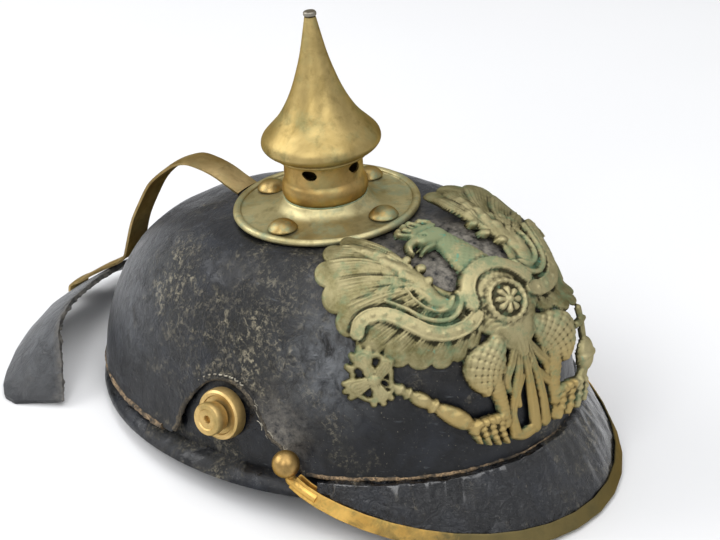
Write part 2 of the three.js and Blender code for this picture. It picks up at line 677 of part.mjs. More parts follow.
// ---------------------------------------------------------------- the helmet as it rests on a table
helmet.rotation.x = -LEAN * RAD;
const rested = new THREE.Group();
rested.add(helmet);
rested.updateMatrixWorld(true);
const box = new THREE.Box3().setFromObject(rested, true);
const middle = box.getCenter(V(0, 0, 0));
helmet.position.set(-middle.x, -middle.y, -box.min.z);
rested.updateMatrixWorld(true);

export default rested;
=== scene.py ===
"""Leather spiked helmet: the finish of every surface, modelled round the CAD frame.

Sizes are in millimetres in the helmet's own upright frame (spike's axis Z, front -Y, wearer's right -X,
rim plane z = 0). HELMET carries that frame to where the helmet leans on the table.
"""

import json
import math
from functools import partial
from types import SimpleNamespace

import bpy
import bmesh
import numpy as np
from mathutils import Matrix, Vector
from mathutils.noise import noise as noise_at


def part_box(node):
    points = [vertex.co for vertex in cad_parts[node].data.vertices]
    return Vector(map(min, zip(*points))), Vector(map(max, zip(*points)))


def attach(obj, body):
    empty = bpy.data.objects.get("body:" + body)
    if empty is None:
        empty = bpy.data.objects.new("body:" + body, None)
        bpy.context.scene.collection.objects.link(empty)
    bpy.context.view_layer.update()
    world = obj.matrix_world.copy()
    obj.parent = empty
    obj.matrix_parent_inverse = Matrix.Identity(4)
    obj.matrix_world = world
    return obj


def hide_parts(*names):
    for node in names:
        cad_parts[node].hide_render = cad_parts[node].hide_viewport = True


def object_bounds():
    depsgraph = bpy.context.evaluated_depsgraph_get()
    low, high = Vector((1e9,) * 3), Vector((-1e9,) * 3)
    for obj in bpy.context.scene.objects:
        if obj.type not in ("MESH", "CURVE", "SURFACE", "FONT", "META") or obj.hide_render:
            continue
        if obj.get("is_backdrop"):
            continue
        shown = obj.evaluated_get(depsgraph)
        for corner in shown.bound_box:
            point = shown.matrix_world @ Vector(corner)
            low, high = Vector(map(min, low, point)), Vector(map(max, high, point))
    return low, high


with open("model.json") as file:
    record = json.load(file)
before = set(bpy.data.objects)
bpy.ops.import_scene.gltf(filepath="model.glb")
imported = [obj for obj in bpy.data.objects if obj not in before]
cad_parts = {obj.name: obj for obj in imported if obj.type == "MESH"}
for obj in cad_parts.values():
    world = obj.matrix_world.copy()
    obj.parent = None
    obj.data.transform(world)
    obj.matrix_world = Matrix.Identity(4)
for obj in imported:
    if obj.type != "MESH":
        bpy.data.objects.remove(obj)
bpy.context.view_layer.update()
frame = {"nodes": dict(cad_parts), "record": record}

MM = 0.001
LEAN = math.radians(5.6)
TIP_MIDDLE = 181.95  # height of the spike tip's middle above the rim plane

axis = Vector((0, math.sin(LEAN), math.cos(LEAN)))
tip_low, tip_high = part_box("spike_tip")
ORIGIN = (tip_low + tip_high) / 2 - axis * TIP_MIDDLE * MM
HELMET = Matrix.Translation(ORIGIN) @ Matrix.Rotation(-LEAN, 4, "X")

# ------------------------------------------------------------------ the shell's form, as in the part
TOP, CROWN_DROP, SEAM_Z = 91.6, 1.4, 8.6
# Each side's reach and the two powers that round the shell from its rim to its top.
MERIDIAN = {"front": (114.8, 3.36, 5.71), "side": (93.0, 0.42, 6.83), "back": (127.0, 2.03, 2.97)}
LEATHER = 2.5
BAND_INSET, BAND_WALL, BAND_TOP = 3.1, 2.0, 44.0
DISC_Z = 92.6  # the base plate's rim


def half_width(side, z, inset=0.0):
    reach, rise, round_ = MERIDIAN[side]
    share = min(1.0, max(0.0, z / (TOP - inset)))
    return (reach - inset) * max(0.0, 1 - share**rise) ** (1 / round_)


def shell_row(z, inset=0.0, at=None):
    """The shell's reach to the front, side and back at height `at`, for a ring that lies at height z."""
    at = z if at is None else at
    return [half_width(side, at, inset) for side in ("front", "side", "back")] + [z]


def on_shell(y, z, side, inset=0.0):
    """A place on the shell's wall at a length and a height, on one side."""
    length = half_width("front" if y < 0 else "back", z, inset)
    return Vector((side * half_width("side", z, inset) * math.sqrt(max(0.0, 1 - (y / length) ** 2)), y, z))


def round_shell(angle, z, inset=0.0):
    """A place on the shell at an angle from the front towards the wearer's right."""
    lengthwise = half_width("front" if math.cos(angle) > 0 else "back", z, inset)
    return Vector((-half_width("side", z, inset) * math.sin(angle), -lengthwise * math.cos(angle), z))


# ------------------------------------------------------------------ modelling helpers
def deselect():
    if bpy.context.object and bpy.context.object.mode == "EDIT":
        bpy.ops.object.mode_set(mode="OBJECT")
    bpy.ops.object.select_all(action="DESELECT")


def choose(*pieces):
    """Selects these pieces alone; the first is the active one."""
    deselect()
    for piece in pieces:
        piece.select_set(True)
    bpy.context.view_layer.objects.active = pieces[0]


def edit(obj):
    choose(obj)
    bpy.ops.object.mode_set(mode="EDIT")


def everything():
    bpy.ops.mesh.select_all(action="SELECT")


def face_outward():
    """Turns the faces of the piece in edit mode outward and leaves edit mode."""
    everything()
    bpy.ops.mesh.normals_make_consistent(inside=False)
    bpy.ops.object.mode_set(mode="OBJECT")


def pick(obj, wanted):
    """Selects the vertices of the piece in edit mode for which wanted(co) is true."""
    mesh = bmesh.from_edit_mesh(obj.data)
    for v in mesh.verts:
        v.select = wanted(v.co)
    mesh.select_flush_mode()
    bmesh.update_edit_mesh(obj.data)


def apply_modifier(obj, kind, **settings):
    choose(obj)
    modifier = obj.modifiers.new(kind.title(), kind)
    for key, value in settings.items():
        setattr(modifier, key, value)
    bpy.ops.object.modifier_apply(modifier=modifier.name)


def place(obj, matrix=HELMET):
    """Puts the piece's place in its mesh, with its object at the origin."""
    obj.data.transform(matrix @ obj.matrix_basis)
    obj.matrix_basis = Matrix.Identity(4)
    obj.data.update()


def dress(obj, replaced, material, degrees=35, at=HELMET):
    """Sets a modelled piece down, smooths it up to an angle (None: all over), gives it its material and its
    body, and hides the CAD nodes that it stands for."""
    place(obj, at)
    choose(obj)
    if degrees is None:
        bpy.ops.object.shade_smooth()
    else:
        bpy.ops.object.shade_smooth_by_angle(angle=math.radians(degrees))
    obj.data.materials.clear()
    obj.data.materials.append(material)
    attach(obj, "root")
    if replaced:
        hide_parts(*replaced)


def one_vertex(name):
    """A mesh of one vertex at the origin, from a primitive plane merged at its centre."""
    deselect()
    bpy.ops.mesh.primitive_plane_add(size=MM)
    obj = bpy.context.object
    obj.name = obj.data.name = name
    bpy.ops.object.mode_set(mode="EDIT")
    everything()
    bpy.ops.mesh.merge(type="CENTER")
    return obj


def extrude(step=None):
    """Extrudes what is selected, by a step in millimetres."""
    if step is None:
        bpy.ops.mesh.extrude_region_move()
    else:
        bpy.ops.mesh.extrude_region_move(TRANSFORM_OT_translate={"value": Vector(step) * MM})


def draw_line(points):
    """Moves the single selected vertex to the first point and extrudes it through the others."""
    here = Vector(points[0])
    bpy.ops.transform.translate(value=here * MM)
    for point in points[1:]:
        extrude(Vector(point) - here)
        here = Vector(point)


def curve_through(points, per=5):
    """A smooth run (Catmull-Rom) through points of any number of coordinates."""
    run = []
    for i in range(len(points) - 1):
        near = points[max(0, i - 1)], points[i], points[i + 1], points[min(len(points) - 1, i + 2)]
        for t in (k / per for k in range(per)):
            run.append([0.5 * (2 * b + (c - a) * t + (2 * a - 5 * b + 4 * c - d) * t**2
                               + (3 * b - a - 3 * c + d) * t**3) for a, b, c, d in zip(*near)])
    return run + [list(points[-1])]


def spun(name, profile, steps, base=0.0):
    """A turned piece: its profile of [radius, height over base], drawn as a line and spun round Z."""
    obj = one_vertex(name)
    draw_line([(r, 0, base + z) for r, z in profile])
    everything()
    bpy.ops.mesh.spin(steps=steps, angle=2 * math.pi, center=(0, 0, 0), axis=(0, 0, 1))
    everything()
    bpy.ops.mesh.remove_doubles(threshold=1e-6)
    face_outward()
    return obj


def hoops(name, rows, around=160):
    """A shell of rings [front, side, back, height], extruded upwards from a primitive circle."""
    deselect()
    bpy.ops.mesh.primitive_circle_add(vertices=around, radius=MM)
    obj = bpy.context.object
    obj.name = obj.data.name = name
    bpy.ops.object.mode_set(mode="EDIT")
    everything()
    last = [1.0, 1.0, 1.0, 0.0]
    for i, row in enumerate(rows):
        if i:
            extrude()
        bpy.ops.transform.translate(value=(0, 0, (row[3] - last[3]) * MM))
        centre = (0, 0, row[3] * MM)
        mesh = bmesh.from_edit_mesh(obj.data)
        ring = [v for v in mesh.verts if v.select]
        bpy.ops.transform.resize(value=(row[1] / last[1], 1, 1), center_override=centre)
        for sign, k in ((-1, 0), (1, 2)):
            for v in ring:
                v.select = v.co.y * sign > 1e-7
            mesh.select_flush_mode()
            bpy.ops.transform.resize(value=(1, row[k] / last[k], 1), center_override=centre)
        for v in ring:
            v.select = True
        mesh.select_flush_mode()
        last = row
    return obj


def cut_prism(obj, outline, depth, matrix=None):
    """Cuts a prism out of the piece: an outline in millimetres, filled and pushed along `depth`."""
    cutter = one_vertex("cutter")
    draw_line(outline)
    everything()
    bpy.ops.mesh.edge_face_add()
    extrude(depth)
    face_outward()
    if matrix is not None:
        place(cutter, matrix)
    apply_modifier(obj, "BOOLEAN", operation="DIFFERENCE", object=cutter, solver="EXACT")
    bpy.data.objects.remove(cutter)


def rope_of(name, points, radius, sides=3):
    """A round strip through the points: a line made a curve, given its thickness and made a mesh again."""
    one_vertex(name)
    draw_line([tuple(p) for p in points])
    bpy.ops.object.mode_set(mode="OBJECT")
    bpy.ops.object.convert(target="CURVE")
    curve = bpy.context.object.data
    curve.bevel_depth, curve.bevel_resolution, curve.use_fill_caps = radius * MM, sides, True
    bpy.ops.object.convert(target="MESH")
    return bpy.context.object


def joined(pieces, name):
    choose(*pieces)
    bpy.ops.object.join()
    pieces[0].name = pieces[0].data.name = name
    return pieces[0]


def blotch(co, size):
    """Smooth noise, about -1..1, whose swells are about `size` millimetres across."""
    return noise_at(Vector(co) / size)


def weather(obj, push):
    """Moves every vertex along its normal by push(place in mm), in millimetres."""
    mesh = obj.data
    moves = [v.normal * (push(v.co / MM) * MM) for v in mesh.vertices]
    for v, move in zip(mesh.vertices, moves):
        v.co += move
    mesh.update()


def keep(mesh, name, values):
    """Keeps one number for every vertex under a name that the material reads."""
    mesh.attributes.new(name, "FLOAT", "POINT").data.foreach_set("value", values)


def paint(obj, name, value):
    """Keeps value(place in mm) on every vertex."""
    keep(obj.data, name, [float(value(v.co / MM)) for v in obj.data.vertices])


def cad_copy(name, node, levels):
    """A smoothed copy of a CAD node, turned back upright: merged, made quads again, its long edges creased,
    then subdivided."""
    sharp, crease = math.radians(35), 0.9
    deselect()
    obj = bpy.data.objects.new(name, frame["nodes"][node].data.copy())
    bpy.context.scene.collection.objects.link(obj)
    obj.data.materials.clear()
    edit(obj)
    everything()
    bpy.ops.mesh.remove_doubles(threshold=2e-6)
    bpy.ops.mesh.tris_convert_to_quads(face_threshold=math.radians(30), shape_threshold=math.radians(60))
    bpy.ops.mesh.select_all(action="DESELECT")
    bpy.ops.mesh.edges_select_sharp(sharpness=sharp)
    bpy.ops.transform.edge_crease(value=crease)
    bpy.ops.object.mode_set(mode="OBJECT")
    apply_modifier(obj, "SUBSURF", levels=levels, render_levels=levels)
    obj.data.transform(HELMET.inverted())
    return obj


# ------------------------------------------------------------------ materials
def linear(hex_colour):
    """sRGB hex to linear RGBA."""
    values = [int(hex_colour[i : i + 2], 16) / 255 for i in (1, 3, 5)]
    return [v / 12.92 if v <= 0.04045 else ((v + 0.055) / 1.055) ** 2.4 for v in values] + [1.0]


def fill(node, links):
    """Fills a node's inputs, by name or number, with other nodes' outputs, numbers or hex colours."""
    for key, value in links.items():
        if isinstance(value, bpy.types.NodeSocket):
            node.id_data.links.new(value, node.inputs[key])
        else:
            node.inputs[key].default_value = linear(value) if isinstance(value, str) else value


def add_node(tree, kind, links, output=0, **settings):
    """Adds a shader node with its settings and links, and hands back one of its outputs."""
    node = tree.nodes.new("ShaderNode" + kind)
    for key, value in settings.items():
        setattr(node, key, value)
    fill(node, links)
    return node.outputs[output]


def new_material(name, **patterns):
    """A material, the function that adds its nodes, the piece's own coordinates, its patterns of noise and
    the patterns as masks. A pattern is (size in millimetres, detail, roughness, distortion) and, for a mask,
    the noise values at which it starts and is full."""
    material = bpy.data.materials.new(name)
    material.use_nodes = True
    add = partial(add_node, material.node_tree)
    where = add("TexCoord", {}, "Object")
    grain, mask = SimpleNamespace(), SimpleNamespace()
    for key, (size, detail, rough, distortion, *limits) in patterns.items():
        noise = add("TexNoise", {"Vector": where, "Scale": 1 / (size * MM), "Detail": detail,
                                 "Roughness": rough, "Distortion": distortion})
        setattr(grain, key, noise)
        if limits:
            links = {"Value": noise, "From Min": limits[0], "From Max": limits[1]}
            setattr(mask, key, add("MapRange", links))
    return material, add, where, grain, mask


def finish_material(material, add, base, coats, rough, bumps, constants):
    """Links up the material's Principled shader. Each coat is a colour laid over those before it, as far as
    the product of its masks; each bump is a depth in millimetres and a height, the broadest first."""
    for colour, share, *others in coats:
        for other in others:
            share = add("Math", {0: share, 1: other}, operation="MULTIPLY")
        base = add("Mix", {0: share, 6: base, 7: colour}, 2, data_type="RGBA")
    links = {"Base Color": base, "Roughness": rough, **constants}
    for depth, height in bumps:
        below = {"Normal": links["Normal"]} if "Normal" in links else {}
        links["Normal"] = add("Bump", {"Height": height, "Distance": depth * MM, "Strength": 1.0, **below})
    fill(material.node_tree.nodes["Principled BSDF"], links)
    return material


def lacquered_leather(name, black="#050609", faded="#181B21", dusting=1.0, gloss=0.34, furrows=0.0,
                      masks=False, coat=0.0):
    """Vegetable-tanned hide, lacquered black. The lacquer shows a blue-black satin, gone slate where rubbed
    and where a sheen is painted on; where it has perished it is a crust of dark pits and pale gritty crests,
    a millimetre or so across."""
    material, add, where, grain, mask = new_material(
        name, perished=(36, 4, 0.6, 0.8, 0.52, 0.64), crust=(2.3, 9, 0.78, 0.5, 0.5, 0.57),
        mottle=(7, 6, 0.68, 0.6, 0.36, 0.6), fading=(19, 5, 0.62, 0.4, 0.46, 0.68),
        clusters=(11, 6, 0.72, 0.5, 0.44, 0.56), flecks=(1.1, 3, 0.6, 0, 0.67, 0.73), swell=(22, 3, 0.5, 0),
        pores=(1.4, 4, 0.6, 0),
    )
    perished = mask.perished
    if masks:
        gritty = add("Attribute", {}, "Fac", attribute_name="gritty")
        gritty = add("Math", {0: gritty, 1: 0.62, 2: grain.mottle}, operation="MULTIPLY_ADD")
        gritty = add("MapRange", {"Value": gritty, "From Min": 0.66, "From Max": 0.95})
        fainter = add("Math", {0: perished, 1: 0.4}, operation="MULTIPLY")
        perished = add("Math", {0: fainter, 1: gritty}, operation="MAXIMUM")
    clusters = add("Math", {0: mask.clusters, 1: 0.9, 2: 0.1}, operation="MULTIPLY_ADD")
    slanting = add("Mapping", {"Vector": where, "Rotation": (0.5, 0.2, 0), "Scale": (0.2, 0.2, 1.0)})
    scratches = add("TexNoise", {"Vector": slanting, "Scale": 1 / (1.6 * MM), "Detail": 4, "Roughness": 0.6})
    scratches = add("MapRange", {"Value": scratches, "From Min": 0.64, "From Max": 0.74})
    coats = [(faded, mask.fading), ("#22221F", perished, 0.5),
             ("#A0977F", perished, mask.crust, clusters, 0.72 * dusting),
             ("#99917E", mask.flecks, 0.4 * dusting), ("#5C6064", scratches, 0.3)]
    rough = add("MapRange", {"Value": grain.mottle, "From Min": 0.3, "From Max": 0.72, "To Min": gloss - 0.08,
                             "To Max": gloss + 0.14})
    rough = add("Math", {0: perished, 1: 0.3, 2: rough}, operation="MULTIPLY_ADD", use_clamp=True)
    pitted = add("Math", {0: grain.crust, 1: perished}, operation="MULTIPLY")
    bumps = [(1.4, grain.swell), (0.6, grain.mottle), (1.0, pitted), (0.05, grain.pores)]
    if masks:
        scuff_and_sheen = add("Attribute", {}, "Fac", attribute_name="scuff_and_sheen")
        scuff_and_sheen = add("Math", {0: scuff_and_sheen, 1: mask.mottle}, operation="MULTIPLY")
        nap = add("TexNoise", {"Vector": where, "Scale": 1 / (4 * MM), "Detail": 5, "Roughness": 0.65,
                               "Distortion": 0.8})
        bumps.append((1.5, add("Math", {0: scuff_and_sheen, 1: nap}, operation="MULTIPLY")))
        soiled = add("Attribute", {}, "Fac", attribute_name="soiled")
        powder = add("TexNoise", {"Vector": where, "Scale": 1 / (4 * MM), "Detail": 8, "Roughness": 0.74})
        powder = add("MapRange", {"Value": powder, "From Min": 0.36, "From Max": 0.62})
        powder = add("Math", {0: soiled, 1: powder}, operation="MULTIPLY")
        # Blue-grey where the painted mask lies, partly rubbed lacquer and partly a painted sheen; pale dust
        # over it.
        coats += [("#74777A", scuff_and_sheen, 0.75), ("#8B857A", powder, 0.85)]
        rough = add("Math", {0: powder, 1: 0.4, 2: rough}, operation="MULTIPLY_ADD", use_clamp=True)
    if furrows:
        # The painted flow runs in units of one ridge, so its scale is 1.
        flow = add("Attribute", {}, "Vector", attribute_name="flow")
        ridges = add("TexNoise", {"Vector": flow, "Scale": 1.0, "Detail": 5, "Roughness": 0.6,
                                  "Distortion": 1.1})
        creases = add("TexNoise", {"Vector": where, "Scale": 1 / (6 * MM), "Detail": 3, "Roughness": 0.5,
                                   "Distortion": 1.0})
        bumps[1:1] = [(furrows, ridges), (furrows, creases)]
        tops = add("MapRange", {"Value": ridges, "From Min": 0.58, "From Max": 0.66})
        worn = add("MapRange", {"Value": grain.crust, "From Min": 0.5, "From Max": 0.62})
        coats.append(("#7A7262", tops, worn, 0.6))
    constants = {"Specular IOR Level": 0.34, "Sheen Weight": 0.16, "Sheen Roughness": 0.22,
                 "Sheen Tint": "#C9CCD2"}
    if coat:
        constants.update({"Coat Weight": coat, "Coat Roughness": 0.12})
    return finish_material(material, add, black, coats, rough, bumps, constants)


def raw_edge(name, light="#A98E6B", dark="#4C4032"):
    """The cut edge of the hide: tan fibres, frayed and dirty, dull all over."""
    material, add, _, grain, mask = new_material(name, fibres=(0.9, 6, 0.7, 0.6, 0.4, 0.62),
                                                 dirt=(7, 5, 0.6, 0, 0.46, 0.62))
    coats = [(light, mask.fibres), ("#2C2822", mask.dirt)]
    return finish_material(material, add, dark, coats, 0.85, [(0.5, grain.fibres)], {})


def old_brass(name, light, deep, tarnish="#5F5430", verdigris="#5E8A6E", green=0.0, rough=0.34, spots=0.5,
              edge="#9C8B62", turning=0.0, crust="#9DB5A0", dulled=None):
    """Spun or rolled brass, once polished: a satin yellow metal, browned in clouds by handling and dulled to
    olive and green where damp has sat. `turning` adds the fine rings left by the spinning tool; `dulled` is
    the colour of the stretches that nobody has handled, painted on the piece under that name."""
    material, add, where, grain, mask = new_material(
        name, broad=(20, 5, 0.6, 0.4, 0.36, 0.66), clouds=(7, 6, 0.65, 0.3, 0.5, 0.7),
        fine=(1.3, 5, 0.7, 0, 0.58, 0.7), bloom=(13, 8, 0.7, 0, 0.5, 0.66),
    )
    bloom = add("Math", {0: mask.bloom, 1: green}, operation="MULTIPLY")
    coats = [(deep, mask.broad), (tarnish, mask.clouds, spots), (verdigris, bloom),
             (crust, bloom, mask.fine, 0.6)]
    roughness = add("MapRange", {"Value": grain.clouds, "From Min": 0.3, "From Max": 0.75, "To Min": rough,
                                 "To Max": rough + 0.14})
    roughness = add("Math", {0: bloom, 1: 0.25, 2: roughness}, operation="MULTIPLY_ADD", use_clamp=True)
    if dulled:
        dirt = add("Attribute", {}, "Fac", attribute_name="dulled")
        dirt = add("Math", {0: dirt, 1: 0.7, 2: grain.clouds}, operation="MULTIPLY_ADD")
        dirt = add("MapRange", {"Value": dirt, "From Min": 0.55, "From Max": 0.95})
        coats.append((dulled, dirt, 0.9))
        roughness = add("Math", {0: dirt, 1: 0.12, 2: roughness}, operation="MULTIPLY_ADD", use_clamp=True)
    bumps = [(0.25, grain.broad), (0.04, grain.fine)]
    if turning:
        level = add("Mapping", {"Vector": where, "Scale": (0.02, 0.02, 1.0)})
        rings = add("TexNoise", {"Vector": level, "Scale": 1 / (0.8 * MM), "Detail": 3, "Roughness": 0.6})
        bumps.append((turning, rings))
    constants = {"Metallic": 0.92, "Specular Tint": edge}
    return finish_material(material, add, light, coats, roughness, bumps, constants)


def patinated_stamping(name):
    """Thin stamped brass that has never been cleaned: worn to yellow on the high relief, olive-brown between,
    darkened almost to black in the sinkings and chalky green where damp has run."""
    material, add, _, grain, mask = new_material(
        name, clouds=(9, 6, 0.65, 0.3, 0.38, 0.62), fine=(1.1, 5, 0.7, 0), bloom=(8, 7, 0.7, 0),
        bright=(3.2, 5, 0.6, 0),
    )
    raised, sunk, damp, handled = [add("Attribute", {}, "Fac", attribute_name=key)
                                   for key in ("raised", "sunk", "damp", "handled")]
    worn = add("Math", {0: grain.fine, 1: 0.5, 2: raised}, operation="MULTIPLY_ADD")
    worn = add("MapRange", {"Value": worn, "From Min": 0.55, "From Max": 1.05})
    # Darker, almost black, as far as the relief lies below what is round it.
    dirt = add("MapRange", {"Value": sunk, "From Min": 0.1, "From Max": 0.6})
    bloom = add("Math", {0: damp, 1: 0.22, 2: grain.bloom}, operation="MULTIPLY_ADD")
    bloom = add("MapRange", {"Value": bloom, "From Min": 0.52, "From Max": 0.68})
    bright = add("Math", {0: damp, 1: 0.12, 2: grain.bright}, operation="MULTIPLY_ADD")
    bright = add("MapRange", {"Value": bright, "From Min": 0.69, "From Max": 0.78})
    coats = [("#958D69", mask.clouds), ("#B5AA82", worn, 0.75), ("#A88F58", handled, 0.75),
             ("#1D1C14", dirt, 0.9), ("#6F8A6C", bloom, 0.6), ("#5C9A86", bright, 0.75)]
    rough = add("MapRange", {"Value": grain.clouds, "From Min": 0.3, "From Max": 0.75, "To Min": 0.4,
                             "To Max": 0.56})
    rough = add("Math", {0: bloom, 1: 0.25, 2: rough}, operation="MULTIPLY_ADD", use_clamp=True)
    constants = {"Metallic": 0.7, "Specular Tint": "#9C9678"}
    return finish_material(material, add, "#6B6543", coats, rough, [(0.25, grain.clouds), (0.1, grain.fine)],
                           constants)


def linen_thread(name):
    """Waxed linen thread, three fine strands, greyed with handling."""
    material, add, _, grain, mask = new_material(name, grime=(1.4, 4, 0.6, 0, 0.4, 0.65),
                                                 strands=(0.5, 2, 0.55, 0))
    coats = [("#5E594E", mask.grime)]
    return finish_material(material, add, "#A9A392", coats, 0.8, [(0.15, grain.strands)], {})


# The crown: black lacquer, slate where rubbed and where a sheen is painted on, perished to pale grit on its
# shoulders.
shell_leather = lacquered_leather("lacquered_leather_shell", masks=True)
# The lower band: the same lacquer, cleaner and a little glossier.
band_leather = lacquered_leather("lacquered_leather_band", dusting=0.5, gloss=0.28)
# The visor: thick glossy lacquer that has wrinkled over its whole width, worn through on the ridges.
visor_leather = lacquered_leather("lacquered_leather_visor", gloss=0.2, dusting=0.6, furrows=2.6, coat=0.8)
# The neck guard: hide that has lost its lacquer, a dull charcoal grey.
guard_leather = lacquered_leather("dull_leather_guard", black="#28292B", faded="#3E3F41", dusting=0.4,
                                  gloss=0.36, masks=True)
# Cut edges: pale tan fibres round the shell, dark with dirt round the arches.
edge_leather = raw_edge("raw_leather_edge")
dirty_edge = raw_edge("dirty_leather_edge", light="#6A604E", dark="#26231F")
thread = linen_thread("waxed_linen_thread")
# The spike: spun brass, a soft yellow satin with faint rings and a little green.
spun_brass = old_brass("spun_brass", "#B8A26C", "#94804F", turning=0.03, green=0.2, rough=0.42)
# Its tip: a greyer metal, dull.
tip_metal = old_brass("greyed_tip_metal", "#9A958A", "#7B766C", tarnish="#55524A", spots=0.4)
# Its neck: brass browned by handling.
neck_brass = old_brass("browned_neck_brass", "#C4A468", "#9A7F4C", green=0.25)
# The base plate: paler brass, bloomed grey-green where damp has lain.
disc_brass = old_brass("spun_brass_greened", "#C6BB8E", "#A59A70", green=0.8, verdigris="#8E9A80", rough=0.4,
                       turning=0.02)
# The studs on the base plate: domed brass, green in patches.
stud_brass = old_brass("domed_stud_brass", "#BCA069", "#917D50", green=0.7, verdigris="#7A9A84")
# The balls at the trim's ends: turned brass, clouded brown.
ball_brass = old_brass("turned_ball_brass", "#C2A166", "#927648", spots=0.6)
# The side lugs: gilded brass, pale and warm.
gilt_brass = old_brass("gilt_brass", "#DFC084", "#B89C62", tarnish="#7F6A42", rough=0.42, edge="#CDBA90",
                       green=0.3, verdigris="#77794F")
# The visor's trim: rolled brass, bright gold at the sides and olive in front.
trim_brass = old_brass("rolled_trim_brass", "#E6BC68", "#BC954E", tarnish="#77633A", rough=0.4,
                       edge="#CBA86C", green=0.4, verdigris="#7A8452", dulled="#5E5A40")
# The rear spine: rolled brass strip, a dull brownish yellow.
strip_brass = old_brass("rolled_strip_brass", "#B9A172", "#8F7A50", tarnish="#5D5036", rough=0.36, green=0.3,
                        verdigris="#76805F")
# The seam round the neck: a chalky green crust without shine.
crust_green = old_brass("verdigris_crust", "#B9C3A4", "#8C9A7C", green=0.9, verdigris="#A9BBA0", rough=0.8)
# The eagle plate: yellow, olive, black and chalky green by turns.
stamped_brass = patinated_stamping("stamped_brass_patina")

# ------------------------------------------------------------------ leather: crown shell
ROWS, CROWN_AROUND = 56, 200
heights = [SEAM_Z + (TOP - CROWN_DROP - SEAM_Z) * (1 - (1 - k / ROWS) ** 2.1) for k in range(ROWS + 1)]
rows = [shell_row(z) for z in heights]
rim = rows[-1]
rows += [[rim[0] * share, rim[1] * share, rim[2] * share, rim[3]] for share in (0.8, 0.6, 0.4, 0.2)]
crown = hoops("crown_shell_leather", rows, CROWN_AROUND)
bpy.ops.mesh.edge_face_add()
bpy.ops.mesh.poke()
face_outward()
apply_modifier(crown, "SOLIDIFY", thickness=LEATHER * MM, offset=-1, use_even_offset=True)

# The arch over each lug, as lengths and heights from its front foot to its rear one.
ARCH = [(38, 0), (29, 12), (28.2, 16.5), (26, 21.5), (22.4, 27), (17.5, 33), (10.5, 38.5), (3, 40.5),
        (-4, 40.2), (-10.5, 37), (-16, 31.5), (-20.5, 25.5), (-24, 21), (-30, 17.5), (-40, 9), (-42, 0)]
SIDES = (-1, 1)
CUT_FROM = 60  # the arches' cutters start this far from the middle and are as deep
for side in SIDES:
    cut_prism(crown, [(side * CUT_FROM, y, z) for y, z in curve_through(ARCH, 4)], (side * CUT_FROM, 0, 0))
weather(crown, lambda co: 0.9 * min(0.4, blotch(co, 38)) + 0.35 * blotch(co, 13))


def swell_at(co, middle, reach):
    """1 at a place on the helmet's side, fading to 0 over `reach` millimetres; the same on both sides."""
    return math.exp(-((Vector((-abs(co[0]), co[1], co[2])) - Vector(middle)).length / reach) ** 2)


def swells(co, *table):
    """The sum, at most 1, of swells given as strength, middle and reach."""
    return min(1.0, sum(strength * swell_at(co, middle, reach) for strength, middle, reach in table))


def soil_round_plate(co):
    """Pale dust has lodged round the plate's head and wings, and in front of the arches."""
    x, y, z = co
    ahead = math.exp(-((x + 6) ** 2 / 2600 + (y + 76) ** 2 / 900 + (z - 84) ** 2 / 500))
    side = math.exp(-((y + 26) ** 2 / 160 + (z - 22) ** 2 / 260)) if abs(x) > 60 else 0
    return min(1.0, 1.15 * ahead + 0.7 * side)


# The lacquer has perished along the crown's shoulders. Beside the plate and at the rear it is painted
# blue-grey, partly as rubbed lacquer and partly as a painted sheen.
GRITTY = [(1.0, (-82, -16, 64), 27), (0.4, (-80, 34, 60), 26), (0.9, (-62, 52, 80), 22),
          (0.4, (-90, 20, 36), 16)]
SCUFF_AND_SHEEN = [(1.3, (-75, -50, 62), 21), (0.55, (-58, 74, 60), 30)]
paint(crown, "soiled", soil_round_plate)
paint(crown, "gritty", lambda co: swells(co, *GRITTY))
paint(crown, "scuff_and_sheen", lambda co: swells(co, *SCUFF_AND_SHEEN))
dress(crown, ["crown_shell"], shell_leather, 40)

# ------------------------------------------------------------------ leather: lower band with its rolled lip
INSIDE = BAND_INSET + BAND_WALL
# Height, how far inside the shell's form, and the height whose form is taken (None: the same), up the outer
# side, round the lip and up the inner side.
BAND = [
    (BAND_TOP, BAND_INSET, None), (33, BAND_INSET, None), (22, BAND_INSET, None), (13, BAND_INSET, 16),
    (5.4, BAND_INSET, 13), (4.6, 2.0, 4.4), (3.6, 0.6, 3.6), (2.2, 0.1, 1.6), (0.8, 0.3, 0.4), (-0.4, 1.2, 0),
    (-0.9, 2.4, 0), (-0.4, 4.2, 2), (1.6, INSIDE, 6), (8, INSIDE, 13), (14, INSIDE, 17), (22, INSIDE, None),
    (33, INSIDE, None), (BAND_TOP, INSIDE, None),
]
band = hoops("lower_band_leather", [shell_row(*row) for row in BAND])
pick(band, lambda co: co.z > (BAND_TOP - 0.01) * MM)
bpy.ops.mesh.bridge_edge_loops()
face_outward()
dress(band, ["lower_band"], band_leather, 50)

# ------------------------------------------------------------------ visor, trim, guard, spine
# The visor's edge is half an ellipse round this place, in plan; the trim's slot follows it.
VISOR_BACK = 31.3
visor = cad_copy("front_visor_leather", "front_visor", 4)


def down_visor(co):
    """Flat places on the visor: millimetres round its edge and millimetres down from its root."""
    return math.atan2(co[0], -(co[1] + VISOR_BACK)) * 100, math.hypot(co[0] * 1.15, co[1] + VISOR_BACK)


def furrow(co):
    """Wrinkles across and down the visor, which fade out before they reach its trim."""
    across, down = down_visor(co)
    if abs(across) > 150:
        return 0.0
    wrinkle = noise_at((across / 9, down / 12, 3.7)) * 1.1 + noise_at((across / 4, down / 7, 9.1)) * 0.4
    return (wrinkle - 0.15) * min(1.0, max(0.0, (co[2] + 23) / 12)) - 0.1


